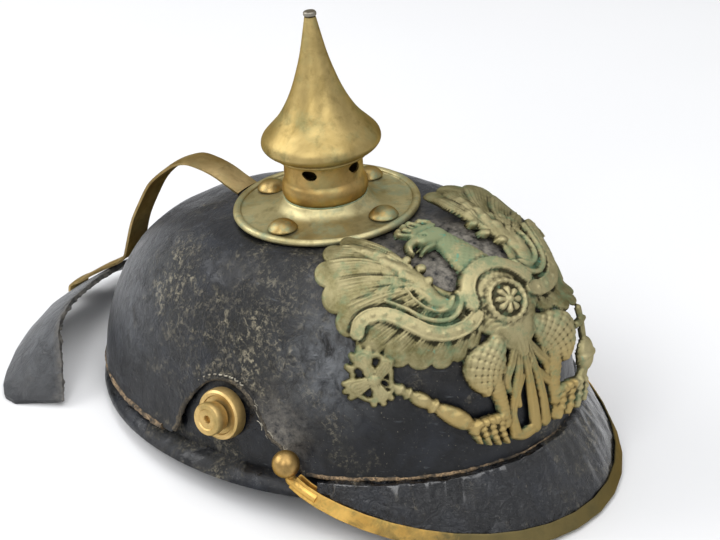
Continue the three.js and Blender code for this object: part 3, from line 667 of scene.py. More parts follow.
weather(visor, furrow)
flat = [down_visor(v.co / MM) for v in visor.data.vertices]
flow = visor.data.attributes.new("flow", "FLOAT_VECTOR", "POINT")
flow.data.foreach_set("vector", [c for across, down in flat for c in (across / 6, down / 9, 0.0)])
dress(visor, ["front_visor"], visor_leather, 40)

trim = cad_copy("visor_trim_brass", "visor_trim", 3)
paint(trim, "dulled", lambda co: min(1.0, max(0.0, (-co[1] - 70) / 55)))
dress(trim, ["visor_trim"], trim_brass, 40)

guard = cad_copy("neck_guard_leather", "neck_guard", 4)
# The guard's seam edge: how far back it lies at each distance from the middle.
SEAM_LINE = ([0, 20, 38, 52, 62, 70, 76, 78.4], [139.5, 138, 134, 127.5, 120, 112.5, 107.4, 105.6])


def torn(co):
    """1 at the guard's torn seam edge, 0 a few millimetres away from it."""
    return max(0.0, 1 - (co[1] - float(np.interp(abs(co[0]), *SEAM_LINE))) / 5.5)


weather(guard, lambda co: 0.5 * blotch(co, 24) + torn(co) * (0.9 * blotch(co, 3.2) + 0.6 * blotch(co, 1.3)))
paint(guard, "soiled", lambda co: 0.5 * torn(co))
paint(guard, "gritty", lambda co: 0.0)
# A painted sheen: the guard is painted lighter grey towards its top, none at its torn edge.
paint(guard, "scuff_and_sheen", lambda co: 0.4 * min(1.0, max(0.0, (co[2] - 1) / 14)) * (1 - torn(co)))
dress(guard, ["neck_guard"], guard_leather, 50)

SPINE_WIDTH, SPINE_THICK, STRIPS = 14.0, 1.19, 8
SPINE_UPPER = [(46.0, 91.3), (51, 93.4), (60, 97.4), (69, 99.6), (77.5, 100.2), (85.5, 97.8), (93, 93.2),
               (103.5, 84.6), (111.5, 73.6), (119.5, 60.4), (125, 47), (127.8, 40)]
SPINE_LOWER = [(127.8, 40), (131, 36.4), (142, 30.2), (153, 23.8), (163, 17.4), (170.6, 13.0), (172.4, 8.4)]
spine = one_vertex("rear_spine_brass")
draw_line([(-SPINE_WIDTH / 2, y, z) for y, z in curve_through(SPINE_UPPER)[:-1] + curve_through(SPINE_LOWER)])
everything()
for _ in range(STRIPS):
    extrude((SPINE_WIDTH / STRIPS, 0, 0))
face_outward()
if spine.data.polygons[0].normal.z < 0:
    spine.data.flip_normals()
weather(spine, lambda co: -0.1 - 0.7 * abs(co[0] / (SPINE_WIDTH / 2)) ** 2.4 + 0.1 * blotch(co, 9))
apply_modifier(spine, "SOLIDIFY", thickness=SPINE_THICK * MM, offset=-1)
dress(spine, ["rear_spine"], strip_brass, 40)

# ------------------------------------------------------------------ raw edges, stitches and frayed threads
# The shell's cut edge shows from arch to arch, at the front and the rear; the arches' feet lie this far off.
FRONT_FOOT, REAR_FOOT, EDGE_STEPS = 42.5, 38.5, 150
front_angle = math.acos(FRONT_FOOT / half_width("front", SEAM_Z))
rear_angle = math.pi - math.acos(REAR_FOOT / half_width("back", SEAM_Z))
edges = []
for name, start, stop, inset, radius in (
    ("front", -front_angle, front_angle, 0.55, 0.95),
    ("rear", rear_angle, 2 * math.pi - rear_angle, 0.9, 1.45),
):
    turns = [start + (stop - start) * k / EDGE_STEPS for k in range(EDGE_STEPS + 1)]
    path = [round_shell(turn, SEAM_Z, inset) for turn in turns]
    path = [p + Vector((0, 0, -0.15 + 0.5 * blotch(p, 9))) for p in path]
    edges.append(rope_of(f"cut_edge_{name}", path, radius))
arch_line = curve_through(ARCH)
arch_edges = []
for side in SIDES:
    path = [on_shell(y, max(z, 7.4), side, 1.25) for y, z in arch_line[4:-4]]
    arch_edges.append(rope_of("cut_edge_arch", path, 1.2))
for pieces, name, leather in (
    (edges, "cut_leather_edge", edge_leather),
    (arch_edges, "dirty_arch_edge", dirty_edge),
):
    cut_edge = joined(pieces, name)
    weather(cut_edge, lambda co: 0.5 * blotch(co, 2.1) + 0.3 * blotch(co, 0.9))
    dress(cut_edge, [], leather, 60)


def along_arch(share, outward):
    """A place and direction along the arch, moved out from its edge."""
    k = min(len(arch_line) - 2, int(share * (len(arch_line) - 1)))
    (y0, z0), (y1, z1) = arch_line[k], arch_line[k + 1]
    t = share * (len(arch_line) - 1) - k
    dy, dz = y1 - y0, z1 - z0
    length = math.hypot(dy, dz)
    y, z = y0 + dy * t, z0 + dz * t
    return (y + dz / length * outward, z - dy / length * outward), (dy / length, dz / length)


STITCHES, FRAYED = 9, 9  # on each side
# Places along a stitch, and how far inside the leather's face it lies there.
DIP = [(-0.9, 0.5), (-0.5, -0.1), (0, -0.3), (0.5, -0.1), (0.9, 0.5)]
stitches = []
for side in SIDES:
    for k in range(STITCHES):
        (y, z), (dy, dz) = along_arch(0.36 + 0.2 * k / (STITCHES - 1), 2.0)
        ends = [on_shell(y + dy * d, z + dz * d, side, inset) for d, inset in DIP]
        stitches.append(rope_of("arch_stitch", ends, 0.36, 2))
dress(joined(stitches, "arch_stitches"), [], thread, 60)

random = np.random.default_rng(7)
threads = []
for side in SIDES:
    for k in range(FRAYED):
        share = 0.6 + 0.3 * random.random()
        (y, z), (dy, dz) = along_arch(share, -0.6 + 3.2 * random.random())
        reach, curl = 1.6 + 3 * random.random(), random.normal(0, 0.8)
        line = []
        for t in np.linspace(-0.5, 0.5, 6):
            py, pz = y + dy * reach * t + curl * t * t * dz * 4, z + dz * reach * t - curl * t * t * dy * 4
            line.append(on_shell(py, max(9.4, pz), side, -0.1 - 0.5 * (0.25 - t * t) * random.random()))
        threads.append(rope_of("frayed_thread", line, 0.1 + 0.07 * random.random(), 1))
dress(joined(threads, "frayed_threads"), [], thread, 60)

# ------------------------------------------------------------------ base plate, neck and spike
# Profiles are [radius, height over the base plate's rim].
profile = [[16.4, 5.9], [17.4, 4.2], [20.2, 1.0], [23.6, -0.6], [36.0, -1.7], [38.2, -1.6]]
profile += curve_through([[40.2, -1.8], [41.6, -1.0], [42.0, 0.0], [41.5, 1.2], [40.2, 1.8], [38.8, 1.3],
                          [38.2, 0.4], [37.0, 0.2]])
profile += curve_through([[27.0, 0.9], [23.6, 1.5], [21.4, 2.7], [20.0, 4.2], [19.1, 5.6], [18.6, 5.9]], 4)
disc = spun("base_plate_brass", profile + profile[:1], 144, DISC_Z)
dress(disc, ["base_plate"], disc_brass)

STUD_CIRCLE, STUD_SEAT = 31.5, 1.3
dome = curve_through([[6.5, 0.5], [5.6, 1.7], [4.2, 2.9], [2.3, 3.7], [0, 4.0]])
for i, where in enumerate(("front", "right", "rear", "left")):
    stud = spun(f"base_stud_{where}_brass", [[0, 0], [6.6, 0]] + dome, 48)
    turn = i * math.pi / 2
    seat = Vector((-STUD_CIRCLE * math.sin(turn), -STUD_CIRCLE * math.cos(turn), DISC_Z + STUD_SEAT)) * MM
    dress(stud, [f"base_stud_{where}"], stud_brass, at=HELMET @ Matrix.Translation(seat))

profile = [[17.6, 6.2]]
profile += curve_through([[18.3, 6.3], [18.9, 7.4], [19.2, 9.2], [19.1, 11.2], [18.6, 13.0], [17.9, 14.3],
                          [17.6, 15.0]], 4)
profile += [[17.6, 22.4], [17.9, 23.8], [18.2, 24.6], [17.0, 24.6], [16.6, 22.4], [16.4, 6.2], [17.6, 6.2]]
neck = spun("spike_neck_brass", profile, 120, DISC_Z)
VENTS, VENT_Z = 5, 21
# A vent is a drop lying on its side; its cutter runs from 10 to 22 millimetres in front of the axis.
drop = [(-3.8, 0.6), (-2.6, 2.0), (-0.4, 2.5), (2.2, 1.9), (3.4, 0), (2.2, -1.9), (-0.6, -2.2), (-2.6, -1.0)]
outline = [(x, -10, DISC_Z + VENT_Z + z) for x, z in curve_through(drop + drop[:1], 3)[:-1]]
for i in range(VENTS):
    cut_prism(neck, outline, (0, -12, 0), Matrix.Rotation(-i / VENTS * 2 * math.pi, 4, "Z"))
dress(neck, ["spike_neck"], neck_brass)

# Verdigris has crusted in the seam between the neck and the base plate's collar.
CRUST_RADIUS, CRUST_Z, CRUST_STEPS = 18.55, 6.0, 60
turns = [k / CRUST_STEPS * 2 * math.pi for k in range(CRUST_STEPS + 1)]
ring = [(CRUST_RADIUS * math.cos(turn), CRUST_RADIUS * math.sin(turn), DISC_Z + CRUST_Z) for turn in turns]
seam = rope_of("neck_seam_crust", ring, 0.32, 2)
weather(seam, lambda co: 0.14 * blotch(co, 1.6))
dress(seam, [], crust_green, 60)

lip = curve_through([[19.3, 24.9], [20.2, 24.9], [20.8, 25.4], [20.8, 26.1], [20.3, 26.5]], 3)
bulb = curve_through([[21.2, 26.6], [24.4, 28.2], [26.2, 30.2], [26.5, 32.2], [25.6, 34.6], [23.0, 37.5],
                      [18.6, 42.2], [15.0, 47.6], [11.6, 54.4], [8.8, 62.0], [6.3, 70.2], [4.4, 78.6],
                      [2.5, 88.0]])
hollow = [[0, 88.0], [0, 80], [3, 74], [7.5, 62], [13, 49], [20, 39], [24, 34], [24.6, 31.5], [22, 28.6],
          [18.1, 25.6], [19.3, 24.9]]
dress(spun("spike_brass", lip + bulb + hollow, 120, DISC_Z), ["spike"], spun_brass)

profile = [[0, 88.3], [2.4, 88.3], [2.8, 88.7], [2.9, 89.2], [2.8, 90.0], [2.4, 90.4], [0, 90.4]]
dress(spun("spike_tip_brass", profile, 40, DISC_Z), ["spike_tip"], tip_metal)


# ------------------------------------------------------------------ side fittings
def trim_slot(turn, up):
    """A place in the trim's slot, `up` millimetres from its edge; turn runs as along the visor's edge."""
    t = turn * math.pi / 2
    c = max(0.0, math.cos(t))
    return Vector((-86 * math.sin(t), -(VISOR_BACK + 104.65 * c), 11.5 - 37.1 * c**0.56 + up))


# The trim's channel is pinched shut at both ends, where it goes under the ball studs.
pinched = []
for side in SIDES:
    slot = [trim_slot(-side * turn, 4.3) for turn in (0.885, 0.9, 0.92, 0.94, 0.96)]
    end = Vector((side * 85.4, -37.4, 7.9))
    beyond = [Vector((side * 84.8, -36.6, 10.6)), Vector((side * 83.6, -36.0, 13.4))]
    pinched.append(rope_of("trim_fold", slot + [end] + beyond, 2.2))
    deselect()
    bpy.ops.mesh.primitive_uv_sphere_add(segments=24, ring_count=14, radius=MM, location=end * MM,
                                         scale=(2.2, 2.4, 3.5))
    pinched.append(bpy.context.object)
    place(pinched[-1], Matrix.Identity(4))
pinched = joined(pinched, "visor_trim_ends")
paint(pinched, "dulled", lambda co: 0.0)
dress(pinched, [], trim_brass, 60)


def facing(at, out):
    """A frame at a place whose Z axis points along `out`."""
    return Matrix.Translation(at) @ out.to_track_quat("Z", "X").to_matrix().to_4x4()


# Profiles are [radius, height], heights for the lug from its outer face and for the ball from its middle.
FLANGE = [[0, -13.8], [10.2, -13.8], [11.2, -13.2], [11.4, -12.2], [11.4, -9.4], [11.0, -8.0], [10.0, -7.4],
          [8.8, -7.6], [8.4, -8.2], [7.0, -8.4], [0, -8.4]]
POST = [[0, -7.1], [6.4, -7.1], [6.4, -5.0], [7.1, -4.4], [7.3, -3.6], [7.3, -1.0], [6.8, -0.2], [6.0, 0],
        [4.8, -0.2], [4.3, -0.7], [3.6, -0.8], [1.9, -0.8], [1.6, -1.4], [1.5, -3.0], [0, -3.2]]
BALL = [[0, -5.7], [2.6, -5.7], [2.6, -5.0]] + curve_through(
    [[3.3, -4.9], [4.9, -3.4], [5.9, -1.0], [5.9, 1.2], [4.7, 3.7], [2.4, 5.5], [0, 6.0]], 4)
mounts = {mount["name"]: mount for mount in frame["record"]["mounts"]}
for label in ("right", "left"):
    face = mounts[f"{label}_lug_face"]
    out = Vector(face["axis"])
    seat = facing(face["pos_m"], out)
    flange = spun(f"{label}_lug_flange_brass", FLANGE, 80)
    dress(flange, [f"{label}_lug_flange"], gilt_brass, at=seat)
    post = spun(f"{label}_lug_post_brass", POST, 64)
    dress(post, [f"{label}_lug_post"], gilt_brass, at=seat)
    low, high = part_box(f"{label}_trim_stud")
    sideways = Vector((out.x, out.y - 0.35, out.z)).normalized()
    stud = spun(f"{label}_trim_stud_brass", BALL, 56)
    dress(stud, [f"{label}_trim_stud"], ball_brass, at=facing((low + high) / 2, sideways))

# ------------------------------------------------------------------ eagle plate: stamped relief
# Drawn flat in millimetres from the plate's middle, u towards the wearer's left and v up, then wrapped on
# the shell. RELIEF holds, for each point of a fine grid, how far it stands up and how far it is outside the
# plate's outline; every feather, scroll and bead is pressed into it in turn.
PITCH = 0.45
PLATE = {"azimuth": 8.2, "elevation": 27, "centre": (0, 0, 15), "radius": 100, "off": 1.0, "thick": 0.9}
SHEET = 0.8
grid_u, grid_v = np.meshgrid(np.arange(-71, 66, PITCH), np.arange(-48, 68, PITCH))
RELIEF = {"rise": np.zeros_like(grid_u), "outside": np.full_like(grid_u, 99.0)}


def ease(x):
    x = np.clip(x, 0, 1)
    return x * x * (3 - 2 * x)


def beside(line, u, v):
    """For each grid point: the nearest place on a line (0..1), how far beside it, the half width there, and
    the line's length."""
    best = np.full(u.shape, 1e9)
    at, side, half = np.zeros_like(u), np.zeros_like(u), np.zeros_like(u)
    lengths = np.hypot(*np.diff(line[:, :2], axis=0).T)
    total, done = lengths.sum(), 0.0
    for (u0, v0, w0), (u1, v1, w1), length in zip(line[:-1], line[1:], lengths):
        if length < 1e-9:
            continue
        du, dv = (u1 - u0) / length, (v1 - v0) / length
        t = np.clip(((u - u0) * du + (v - v0) * dv) / length, 0, 1)
        off_u, off_v = u - u0 - t * length * du, v - v0 - t * length * dv
        far = np.hypot(off_u, off_v)
        near = far < best
        best = np.where(near, far, best)
        at = np.where(near, (done + t * length) / total, at)
        side = np.where(near, np.where(du * off_v - dv * off_u >= 0, far, -far), side)
        half = np.where(near, w0 + (w1 - w0) * t, half)
        done += length
    return at, side, half, total


def press(stations, shape, lift=0.0, add=False, outline=True, smooth_line=True):
    """Presses a stroke, given by [u, v, half width] stations, into the relief. shape(at, x, along, half)
    gives its height: at runs 0..1 and along in millimetres from its start, x runs -1..1 across it."""
    line = np.array(curve_through(stations, 8) if smooth_line else stations, float)
    reach = line[:, 2].max() + 1
    (u0, v0), (u1, v1) = line[:, :2].min(axis=0) - reach, line[:, :2].max(axis=0) + reach
    part = np.ix_((grid_v[:, 0] > v0) & (grid_v[:, 0] < v1), (grid_u[0] > u0) & (grid_u[0] < u1))
    at, side, half, total = beside(line, grid_u[part], grid_v[part])
    within = np.abs(side) - half
    height = shape(at, side / half, at * total, half) + lift
    rise = RELIEF["rise"][part]
    soft = ease(-within / 0.5)
    pressed = rise + height * soft if add else np.maximum(rise, rise * (1 - soft) + height * soft)
    RELIEF["rise"][part] = np.where(within < 0, pressed, rise)
    if outline:
        RELIEF["outside"][part] = np.minimum(RELIEF["outside"][part], within)


def bead(u, v, half, height, lift=0.0, add=False, outline=True, step=0.05):
    """A round bead: a stroke `step` millimetres long."""
    press([(u, v, half), (u + step, v, half)], rounded(height), lift, add, outline, smooth_line=False)


def pierce(stations):
    """Cuts a rounded slot through the plate."""
    _, side, half, _ = beside(np.array(curve_through(stations, 8)), grid_u, grid_v)
    RELIEF["outside"] = np.maximum(RELIEF["outside"], half - np.abs(side))


def arched(x, fall=1.0):
    """A round section, 1 on the line; `fall` of 1 brings it down to 0 at its sides."""
    return np.sqrt(np.clip(1 - fall * x * x, 0, 1))


def waves(along, length):
    return 2 * np.pi * along / length


def rounded(height):
    return lambda at, x, along, half: height * arched(x)


def vaned(height, tilt, shaft=0.55, ribs=0.55):
    """A feather: vanes that lap over the next, a double shaft that thins to the tip, and engraved lines that
    run out along the vanes."""

    def shape(at, x, along, half):
        d = x * half
        vane = height * (0.8 - 0.3 * x * x) + tilt * x * ease((1 - at) * 5)
        quills = np.exp(-(((np.abs(d) - 0.6) / 0.35) ** 2)) - 0.7 * np.exp(-((d / 0.35) ** 2))
        lines = ribs * np.abs(np.cos(2 * np.pi * x * 1.75)) * ease(np.abs(x) * 4 - 0.8) * ease((1 - at) * 4)
        rim = 0.2 * np.exp(-(((np.abs(x) - 0.9) / 0.08) ** 2))
        return vane + shaft * (1 - 0.85 * at) * quills + lines + rim

    return shape


def ribbon(height, edge=0.5):
    """A flat band with a raised roll along both edges."""

    def shape(at, x, along, half):
        return height + edge * np.exp(-(((np.abs(x) - 0.84) / 0.11) ** 2)) + 0.25 * (1 - x * x)

    return shape


# Long and short wing feathers, given for the wearer's left: root, middle and tip as u, v, with a half width.
WING = [
    [(22, 34, 2.0), (28, 48, 4.8), (34.5, 59.6, 5.6)],
    [(24, 33, 2.0), (34, 47.6, 5.4), (45.4, 56.6, 6.6)],
    [(25, 31, 2.0), (38.5, 42.5, 5.4), (53.4, 48.4, 7.0)],
    [(25, 27, 2.0), (39.5, 33.5, 5.6), (54.6, 37.0, 7.2)],
    [(25, 24, 2.0), (39.5, 25.5, 5.4), (53.4, 25.2, 7.0)],
    [(24, 20, 2.0), (37, 17.4, 4.8), (49.6, 14.4, 6.4)],
    [(22, 17, 2.0), (32.5, 10, 4.4), (42, 5.4, 5.8)],
    [(19, 14, 2.0), (28, 6, 4.0), (35, 0.8, 5.2)],
    [(17, 12, 2.0), (23, 3, 3.6), (28.2, -2.6, 4.4)],
    [(14, 10, 2.0), (18.5, 1, 2.8), (22.2, -3.4, 3.4)],
    [(11, 8, 2.0), (14, 1, 2.4), (16.4, -2.2, 2.8)],
]
# The plain sheet under the wing's feathers and scrolls.
WING_BED = [[(12, 11, 5), (20, 15, 6), (26, 24, 7), (29, 34, 6)], [(16, 12, 4), (28, 12, 5), (38, 20, 5)]]
# Two rows of coverts over the feathers' roots.
COVERTS = [
    [(23, 37, 1.6), (28, 47, 2.2), (32, 54, 2.2)],
    [(25, 36, 1.6), (31, 44, 2.2), (37, 50, 2.4)],
    [(26, 33, 1.6), (33, 39, 2.2), (40, 43.5, 2.4)],
    [(27, 30, 1.6), (34, 34, 2.2), (41.5, 36.5, 2.4)],
    [(27, 27, 1.6), (34, 29, 2.2), (41, 29.8, 2.4)],
]
SCALES = [(24, 41), (28.5, 40), (26, 36), (30.5, 35), (25.5, 31), (30, 30), (33.5, 32), (26.5, 26), (31, 26),
          (25, 21.5), (29.5, 21.5), (28, 45), (31.5, 49)]
ARM = [(12, 13.5, 3.0), (17, 12.6, 3.2), (21.6, 16.5, 3.4), (23, 22, 3.6), (23.6, 29, 4.4), (26.5, 38, 4.6),
       (31, 47, 3.6), (36, 56, 2.4)]
ROLLS = [
    [(13.5, 17, 1.0), (15, 12.5, 1.1), (19, 9.6, 1.2), (24, 10.2, 1.2), (29, 14, 1.2), (33, 20, 1.1),
     (38, 26, 0.9)],
    [(16, 16, 0.8), (19, 13.2, 0.9), (23, 13.6, 0.9), (26.5, 17, 0.8), (28.5, 22, 0.7), (29, 27, 0.5)],
]
PEARLS = [(20.2, 37.4, 2.3), (18.2, 31.4, 2.4), (19.4, 25.6, 2.1)]
BANNER = [(53.5, 19.5, 3.2), (50.5, 23, 3.1), (45, 23.4, 3.1), (39.5, 20.6, 3.0), (34.5, 14.6, 3.0),
          (29.5, 8.4, 3.0), (23.5, 4.9, 3.0), (16.5, 4.6, 3.0), (12.5, 6.2, 2.8)]
CHEST_BANNER = [(-12.2, 10.5, 2.4), (-10.6, 16, 2.6), (-6.4, 19.8, 2.7), (-0.5, 21, 2.7), (5.4, 19.6, 2.7),
                (9.6, 16, 2.6), (12.2, 10.5, 2.4)]
THIGH = [(9, -6, 4.2), (14.6, -11.6, 8.4), (17, -17.4, 6.0), (17.4, -21.6, 1.8)]
LEG = [(14, -14, 3.4), (13, -22, 3.2), (12.2, -29, 2.6), (12.4, -36, 2.6)]
TOES = [
    [(12.2, -32.6, 1.9), (14.6, -35.0, 2.1), (14.4, -39.6, 1.9), (13.2, -43.2, 1.4)],
    [(13.5, -32.4, 1.9), (18.0, -34.0, 2.1), (18.0, -38.8, 1.9), (17.0, -42.4, 1.4)],
    [(15, -32.4, 1.9), (21.4, -33.0, 2.0), (21.6, -37.8, 1.8), (20.8, -41.2, 1.3)],
    [(17, -32.4, 1.8), (24.8, -32.4, 1.9), (25.0, -36.4, 1.7), (24.2, -39.6, 1.2)],
]
TAIL = [
    [(0, -8, 1.6), (0.8, -24, 2.0), (1.6, -36, 2.6), (2.0, -43, 3.0)],
    [(-1.4, -9, 1.5), (-3.2, -19, 1.9), (-5.8, -26, 2.3), (-5.4, -31.5, 1.4)],
    [(-2.4, -9, 1.6), (-5.6, -15, 2.0), (-8.8, -19.6, 2.3), (-8.4, -24.4, 1.2)],
    [(-2.4, -21, 1.5), (-6.4, -27.6, 2.1), (-8.8, -34, 2.3), (-8.2, -41.4, 2.8)],
    [(-9.4, -42.2, 2.0), (-5.0, -43.8, 2.5), (-0.4, -43.4, 2.6)],
    [(1.6, -9, 1.5), (4.4, -22, 1.9), (6.6, -33, 2.2), (7.6, -42.4, 3.0)],
    [(2.4, -9, 1.6), (6.6, -15.6, 2.0), (10.0, -20, 2.3), (9.6, -24.8, 1.2)],
    [(2.2, -18, 1.5), (7.6, -25, 2.0), (12.4, -30, 2.2), (14.4, -36, 2.5), (13.2, -42, 2.8)],
]
# The sceptre, turned like a baluster: leafy bulbs between rings, from the claw to its head.
SCEPTRE = [(-18.6, -38, 2.6), (-22.6, -35, 2.6), (-24.6, -33, 3.8), (-26, -31.6, 2.7), (-28, -29.6, 3.7),
           (-31, -26.2, 4.0), (-34.4, -22.4, 3.2), (-36, -20.6, 2.5), (-37.1, -19.4, 3.5),
           (-38.2, -18.2, 2.6), (-40, -16.1, 3.3), (-42, -13.8, 3.1), (-43.4, -12.2, 2.2),
           (-44.4, -11.1, 3.0), (-45.4, -10, 2.1), (-46.8, -8.4, 2.9), (-48.2, -6.8, 1.9), (-50, -5, 2.1),
           (-53, -2, 2.6)]
# The sceptre's head: four flaring arms round a boss, with leafy edges, joined outside the holes between them.
CROSS_ARMS = [
    [(-55, 0, 2.4), (-55.3, 5, 3.4), (-55.6, 8.8, 4.4)],
    [(-56, -1, 2.4), (-59.6, -1.2, 3.6), (-63, -1.4, 4.6)],
    [(-55, -2, 2.4), (-54.8, -5.4, 3.2), (-54.6, -7.8, 3.8)],
    [(-54, -0.6, 2.4), (-51, 1.2, 3.0), (-48.4, 3.0, 3.4)],
]
CROSS_LINKS = [
    [(-62.6, 2.6, 1.5), (-60.6, 6.2, 1.8), (-58, 8.4, 1.5)],
    [(-53, 8.8, 1.5), (-49.8, 8, 1.7), (-47.8, 5.6, 1.5)],
    [(-63, -5, 1.4), (-59.6, -8.2, 1.6), (-56, -9.6, 1.5)],
    [(-52.6, -9.4, 1.5), (-49.4, -7.2, 1.5), (-48.4, -3.4, 1.4), (-47, 0.4, 1.5)],
]
CROSS_LEAVES = [(-59, 12), (-55.4, 13.2), (-52, 11.8), (-66.6, 1.6), (-67.6, -1.6), (-66.4, -4.8),
                (-58.4, -10.8), (-54.6, -11.6), (-51, -10.4), (-62.6, 8.2), (-46, 3.4)]
PIERCED = [[(-58.6, 4.0, 0.9), (-59.4, 4.8, 1.1)], [(-51.6, 5.2, 0.9), (-50.8, 6.0, 1.0)],
           [(-58.2, -5.2, 0.9), (-59.2, -6.0, 1.0)], [(-51.4, -3.4, 0.8), (-50.8, -4.4, 0.9)]]
ORB = (29, -24.5, 6.4)
ORB_STEM = [(14, -36, 2.0), (20, -34, 2.2), (25, -30.4, 2.6), (28.4, -26, 3.0)]
ORB_CROSS = [[(29, -19, 1.6), (29.4, -8.4, 1.6)], [(25.4, -13, 1.5), (33, -13, 1.5)]]
NECK = [(0.2, 13, 9.2), (0.2, 22, 8.0), (0.6, 28, 7.2), (1.6, 34, 6.2), (1.6, 41, 5.8)]
HEAD = [(1.6, 42, 5.4), (-3.6, 42.4, 5.0), (-7.6, 42, 3.2)]
BEAK = [(-5, 43.2, 3.0), (-10.6, 43.6, 2.5), (-14.6, 42.2, 2.0), (-16.4, 39.4, 1.2), (-16, 37.8, 0.7)]
LOWER_BEAK = [(-4.6, 38.6, 2.2), (-9, 37.9, 1.5), (-12.2, 36.8, 0.8)]
TONGUE = [(-8, 40, 0.7), (-12.6, 39, 0.6)]
CROWN_BAND = [(-8.4, 46, 1.6), (-3, 48, 1.8), (5.6, 46.6, 1.6)]
CROWN_CAP = [(-7, 50.2, 3.4), (-1.4, 51.4, 4.0), (3.4, 50.2, 3.6)]
CROWN_ARCHES = [
    [(-7.8, 46.6, 1.4), (-11.2, 50.6, 1.8), (-9.4, 53.2, 1.6)],
    [(-4, 47.6, 1.3), (-5.6, 52, 1.6), (-4, 54.6, 1.5)],
    [(0.6, 47.8, 1.3), (1.4, 52, 1.6), (0, 54.8, 1.5)],
    [(4.6, 46.8, 1.4), (7.2, 50, 1.8), (5.2, 53, 1.6)],
]
EYE = [(1.3, -0.9), (0.7, 0.7)]  # half width and height of the socket and of the ball
BROW = [(-2.6, 45, 0.6), (-5.6, 45.6, 0.7), (-8, 44.8, 0.5)]
CROSS_BOSS = (-55, -1)

for turn in (1, -1):

    def mirror(rows):
        return [(turn * row[0], *row[1:]) for row in rows]

    for row in WING_BED:
        press(mirror(row), lambda at, x, along, half: 1.1 + 0 * x)
    for k, row in enumerate(reversed(WING)):
        press(mirror(row), vaned(1.5, 0.7 * turn, shaft=0.65), lift=0.04 * k)
    for row in COVERTS:
        press(mirror(row), vaned(1.8, 0.5 * turn, shaft=0.25), lift=0.3)
    press(mirror(ARM), lambda at, x, along, half: 2.5 * arched(x, 0.75))
    for u, v in SCALES:
        scale = [(u - 1.2, v - 1.8, 1.9), (u + 0.9, v + 1.2, 2.2)]
        press(mirror(scale), lambda at, x, along, half: 0.55 * (1 - x * x) * (0.35 + at), add=True,
              outline=False)
    for roll in ROLLS:
        press(mirror(roll), rounded(1.3), lift=1.9)
    for u, v, half in PEARLS:
        bead(turn * u, v, half, 1.8, lift=1.2, step=0.05 * turn)
    press(mirror(THIGH), lambda at, x, along, half: 3.6 * arched(x, 0.8)
          - 0.4 * (np.cos(np.pi * along / 2.3) ** 6 + np.cos(np.pi * x * half / 2.1) ** 6))
    press(mirror(LEG), lambda at, x, along, half: 2.8 * arched(x, 0.8) + 0.16 * np.sin(waves(along, 1.9)))
    press(mirror([(13.4, -35, 3.6), (22.6, -34.4, 3.2)]), rounded(1.9))
    for toe in TOES:
        press(mirror(toe), lambda at, x, along, half: (3.1 + 0.45 * np.sin(waves(along, 2.5)) * (at < 0.85))
              * arched(x))
    press(mirror(BANNER), ribbon(2.3), lift=0.5)
    banner_line = curve_through(BANNER, 8)
    for share in np.linspace(0.16, 0.92, 9):
        u, v, _ = banner_line[int(share * 8 * (len(BANNER) - 1))]
        bead(turn * u, v, 1.0, 0.55, add=True, outline=False, step=0.05 * turn)

for row in TAIL:
    press(row, vaned(2.4, 0.0, shaft=0.4, ribs=0.12))
press([(-12, 2, 2), (0, -1, 7), (12, 2, 2)], lambda at, x, along, half: 1.8 + 0.2 * np.cos(waves(along, 3)))
press([(0, -2, 9.5), (0, 4, 11.4), (0, 12, 11)], lambda at, x, along, half: 3.2 * arched(x, 0.7)
      + 0.14 * np.sin(waves(along, 1.9) + np.cos(np.pi * x * 4)))
press([(0, -4, 5.6), (0, -12, 3.0)], lambda at, x, along, half: 2.6 * arched(x, 0.7)
      + 0.2 * np.cos(waves(x * half, 1.6)))
press(NECK, lambda at, x, along, half: 3.3 * arched(x, 0.8)
      + 0.16 * np.sin(waves(along, 2.3)) * np.cos(waves(x * half, 2.6)))
press(HEAD, rounded(3.9), lift=0.3)
press(BEAK, rounded(2.4), lift=1.2)
press(LOWER_BEAK, rounded(1.8), lift=0.8)
press(TONGUE, rounded(0.8), lift=0.8)
for half, height in EYE:
    bead(-5.2, 43.4, half, height, add=True, outline=False, step=0.1)
press(BROW, rounded(0.6), add=True, outline=False)
press(CHEST_BANNER, ribbon(3.7), lift=0.4)
press(CROWN_CAP, lambda at, x, along, half: 1.6 + 0.5 * np.sin(waves(along, 2.4)))
for arch in CROWN_ARCHES:
    press(arch, rounded(1.6), lift=1.2)
    bead(*arch[-1][:2], 1.7, 1.4, lift=1.6)
press(CROWN_BAND, ribbon(2.6, 0.4), lift=0.3)


def round_chest(turn, radius, half):
    """A station at an angle and a radius round the middle of the chest."""
    return radius * math.cos(turn), CHEST_V + radius * math.sin(turn), half


# A generic laurel ring round a rosette stands on the chest.
CHEST_V, LEAVES, PETALS = 6.6, 18, 8
for k in range(LEAVES):
    turn = k / LEAVES * 2 * math.pi
    leaf = [round_chest(turn, 6.6, 0.9), round_chest(turn + 0.42, 7.4, 0.6)]
    press(leaf, rounded(1.0), lift=3.4, outline=False, smooth_line=False)
for k in range(PETALS):
    turn = (k + 0.5) / PETALS * 2 * math.pi
    petal = [round_chest(turn, 0.9, 0.6), round_chest(turn, 3.5, 1.35)]
    press(petal, rounded(1.2), lift=3.7, outline=False, smooth_line=False)
bead(0, CHEST_V, 1.4, 1.2, lift=4.4, outline=False)

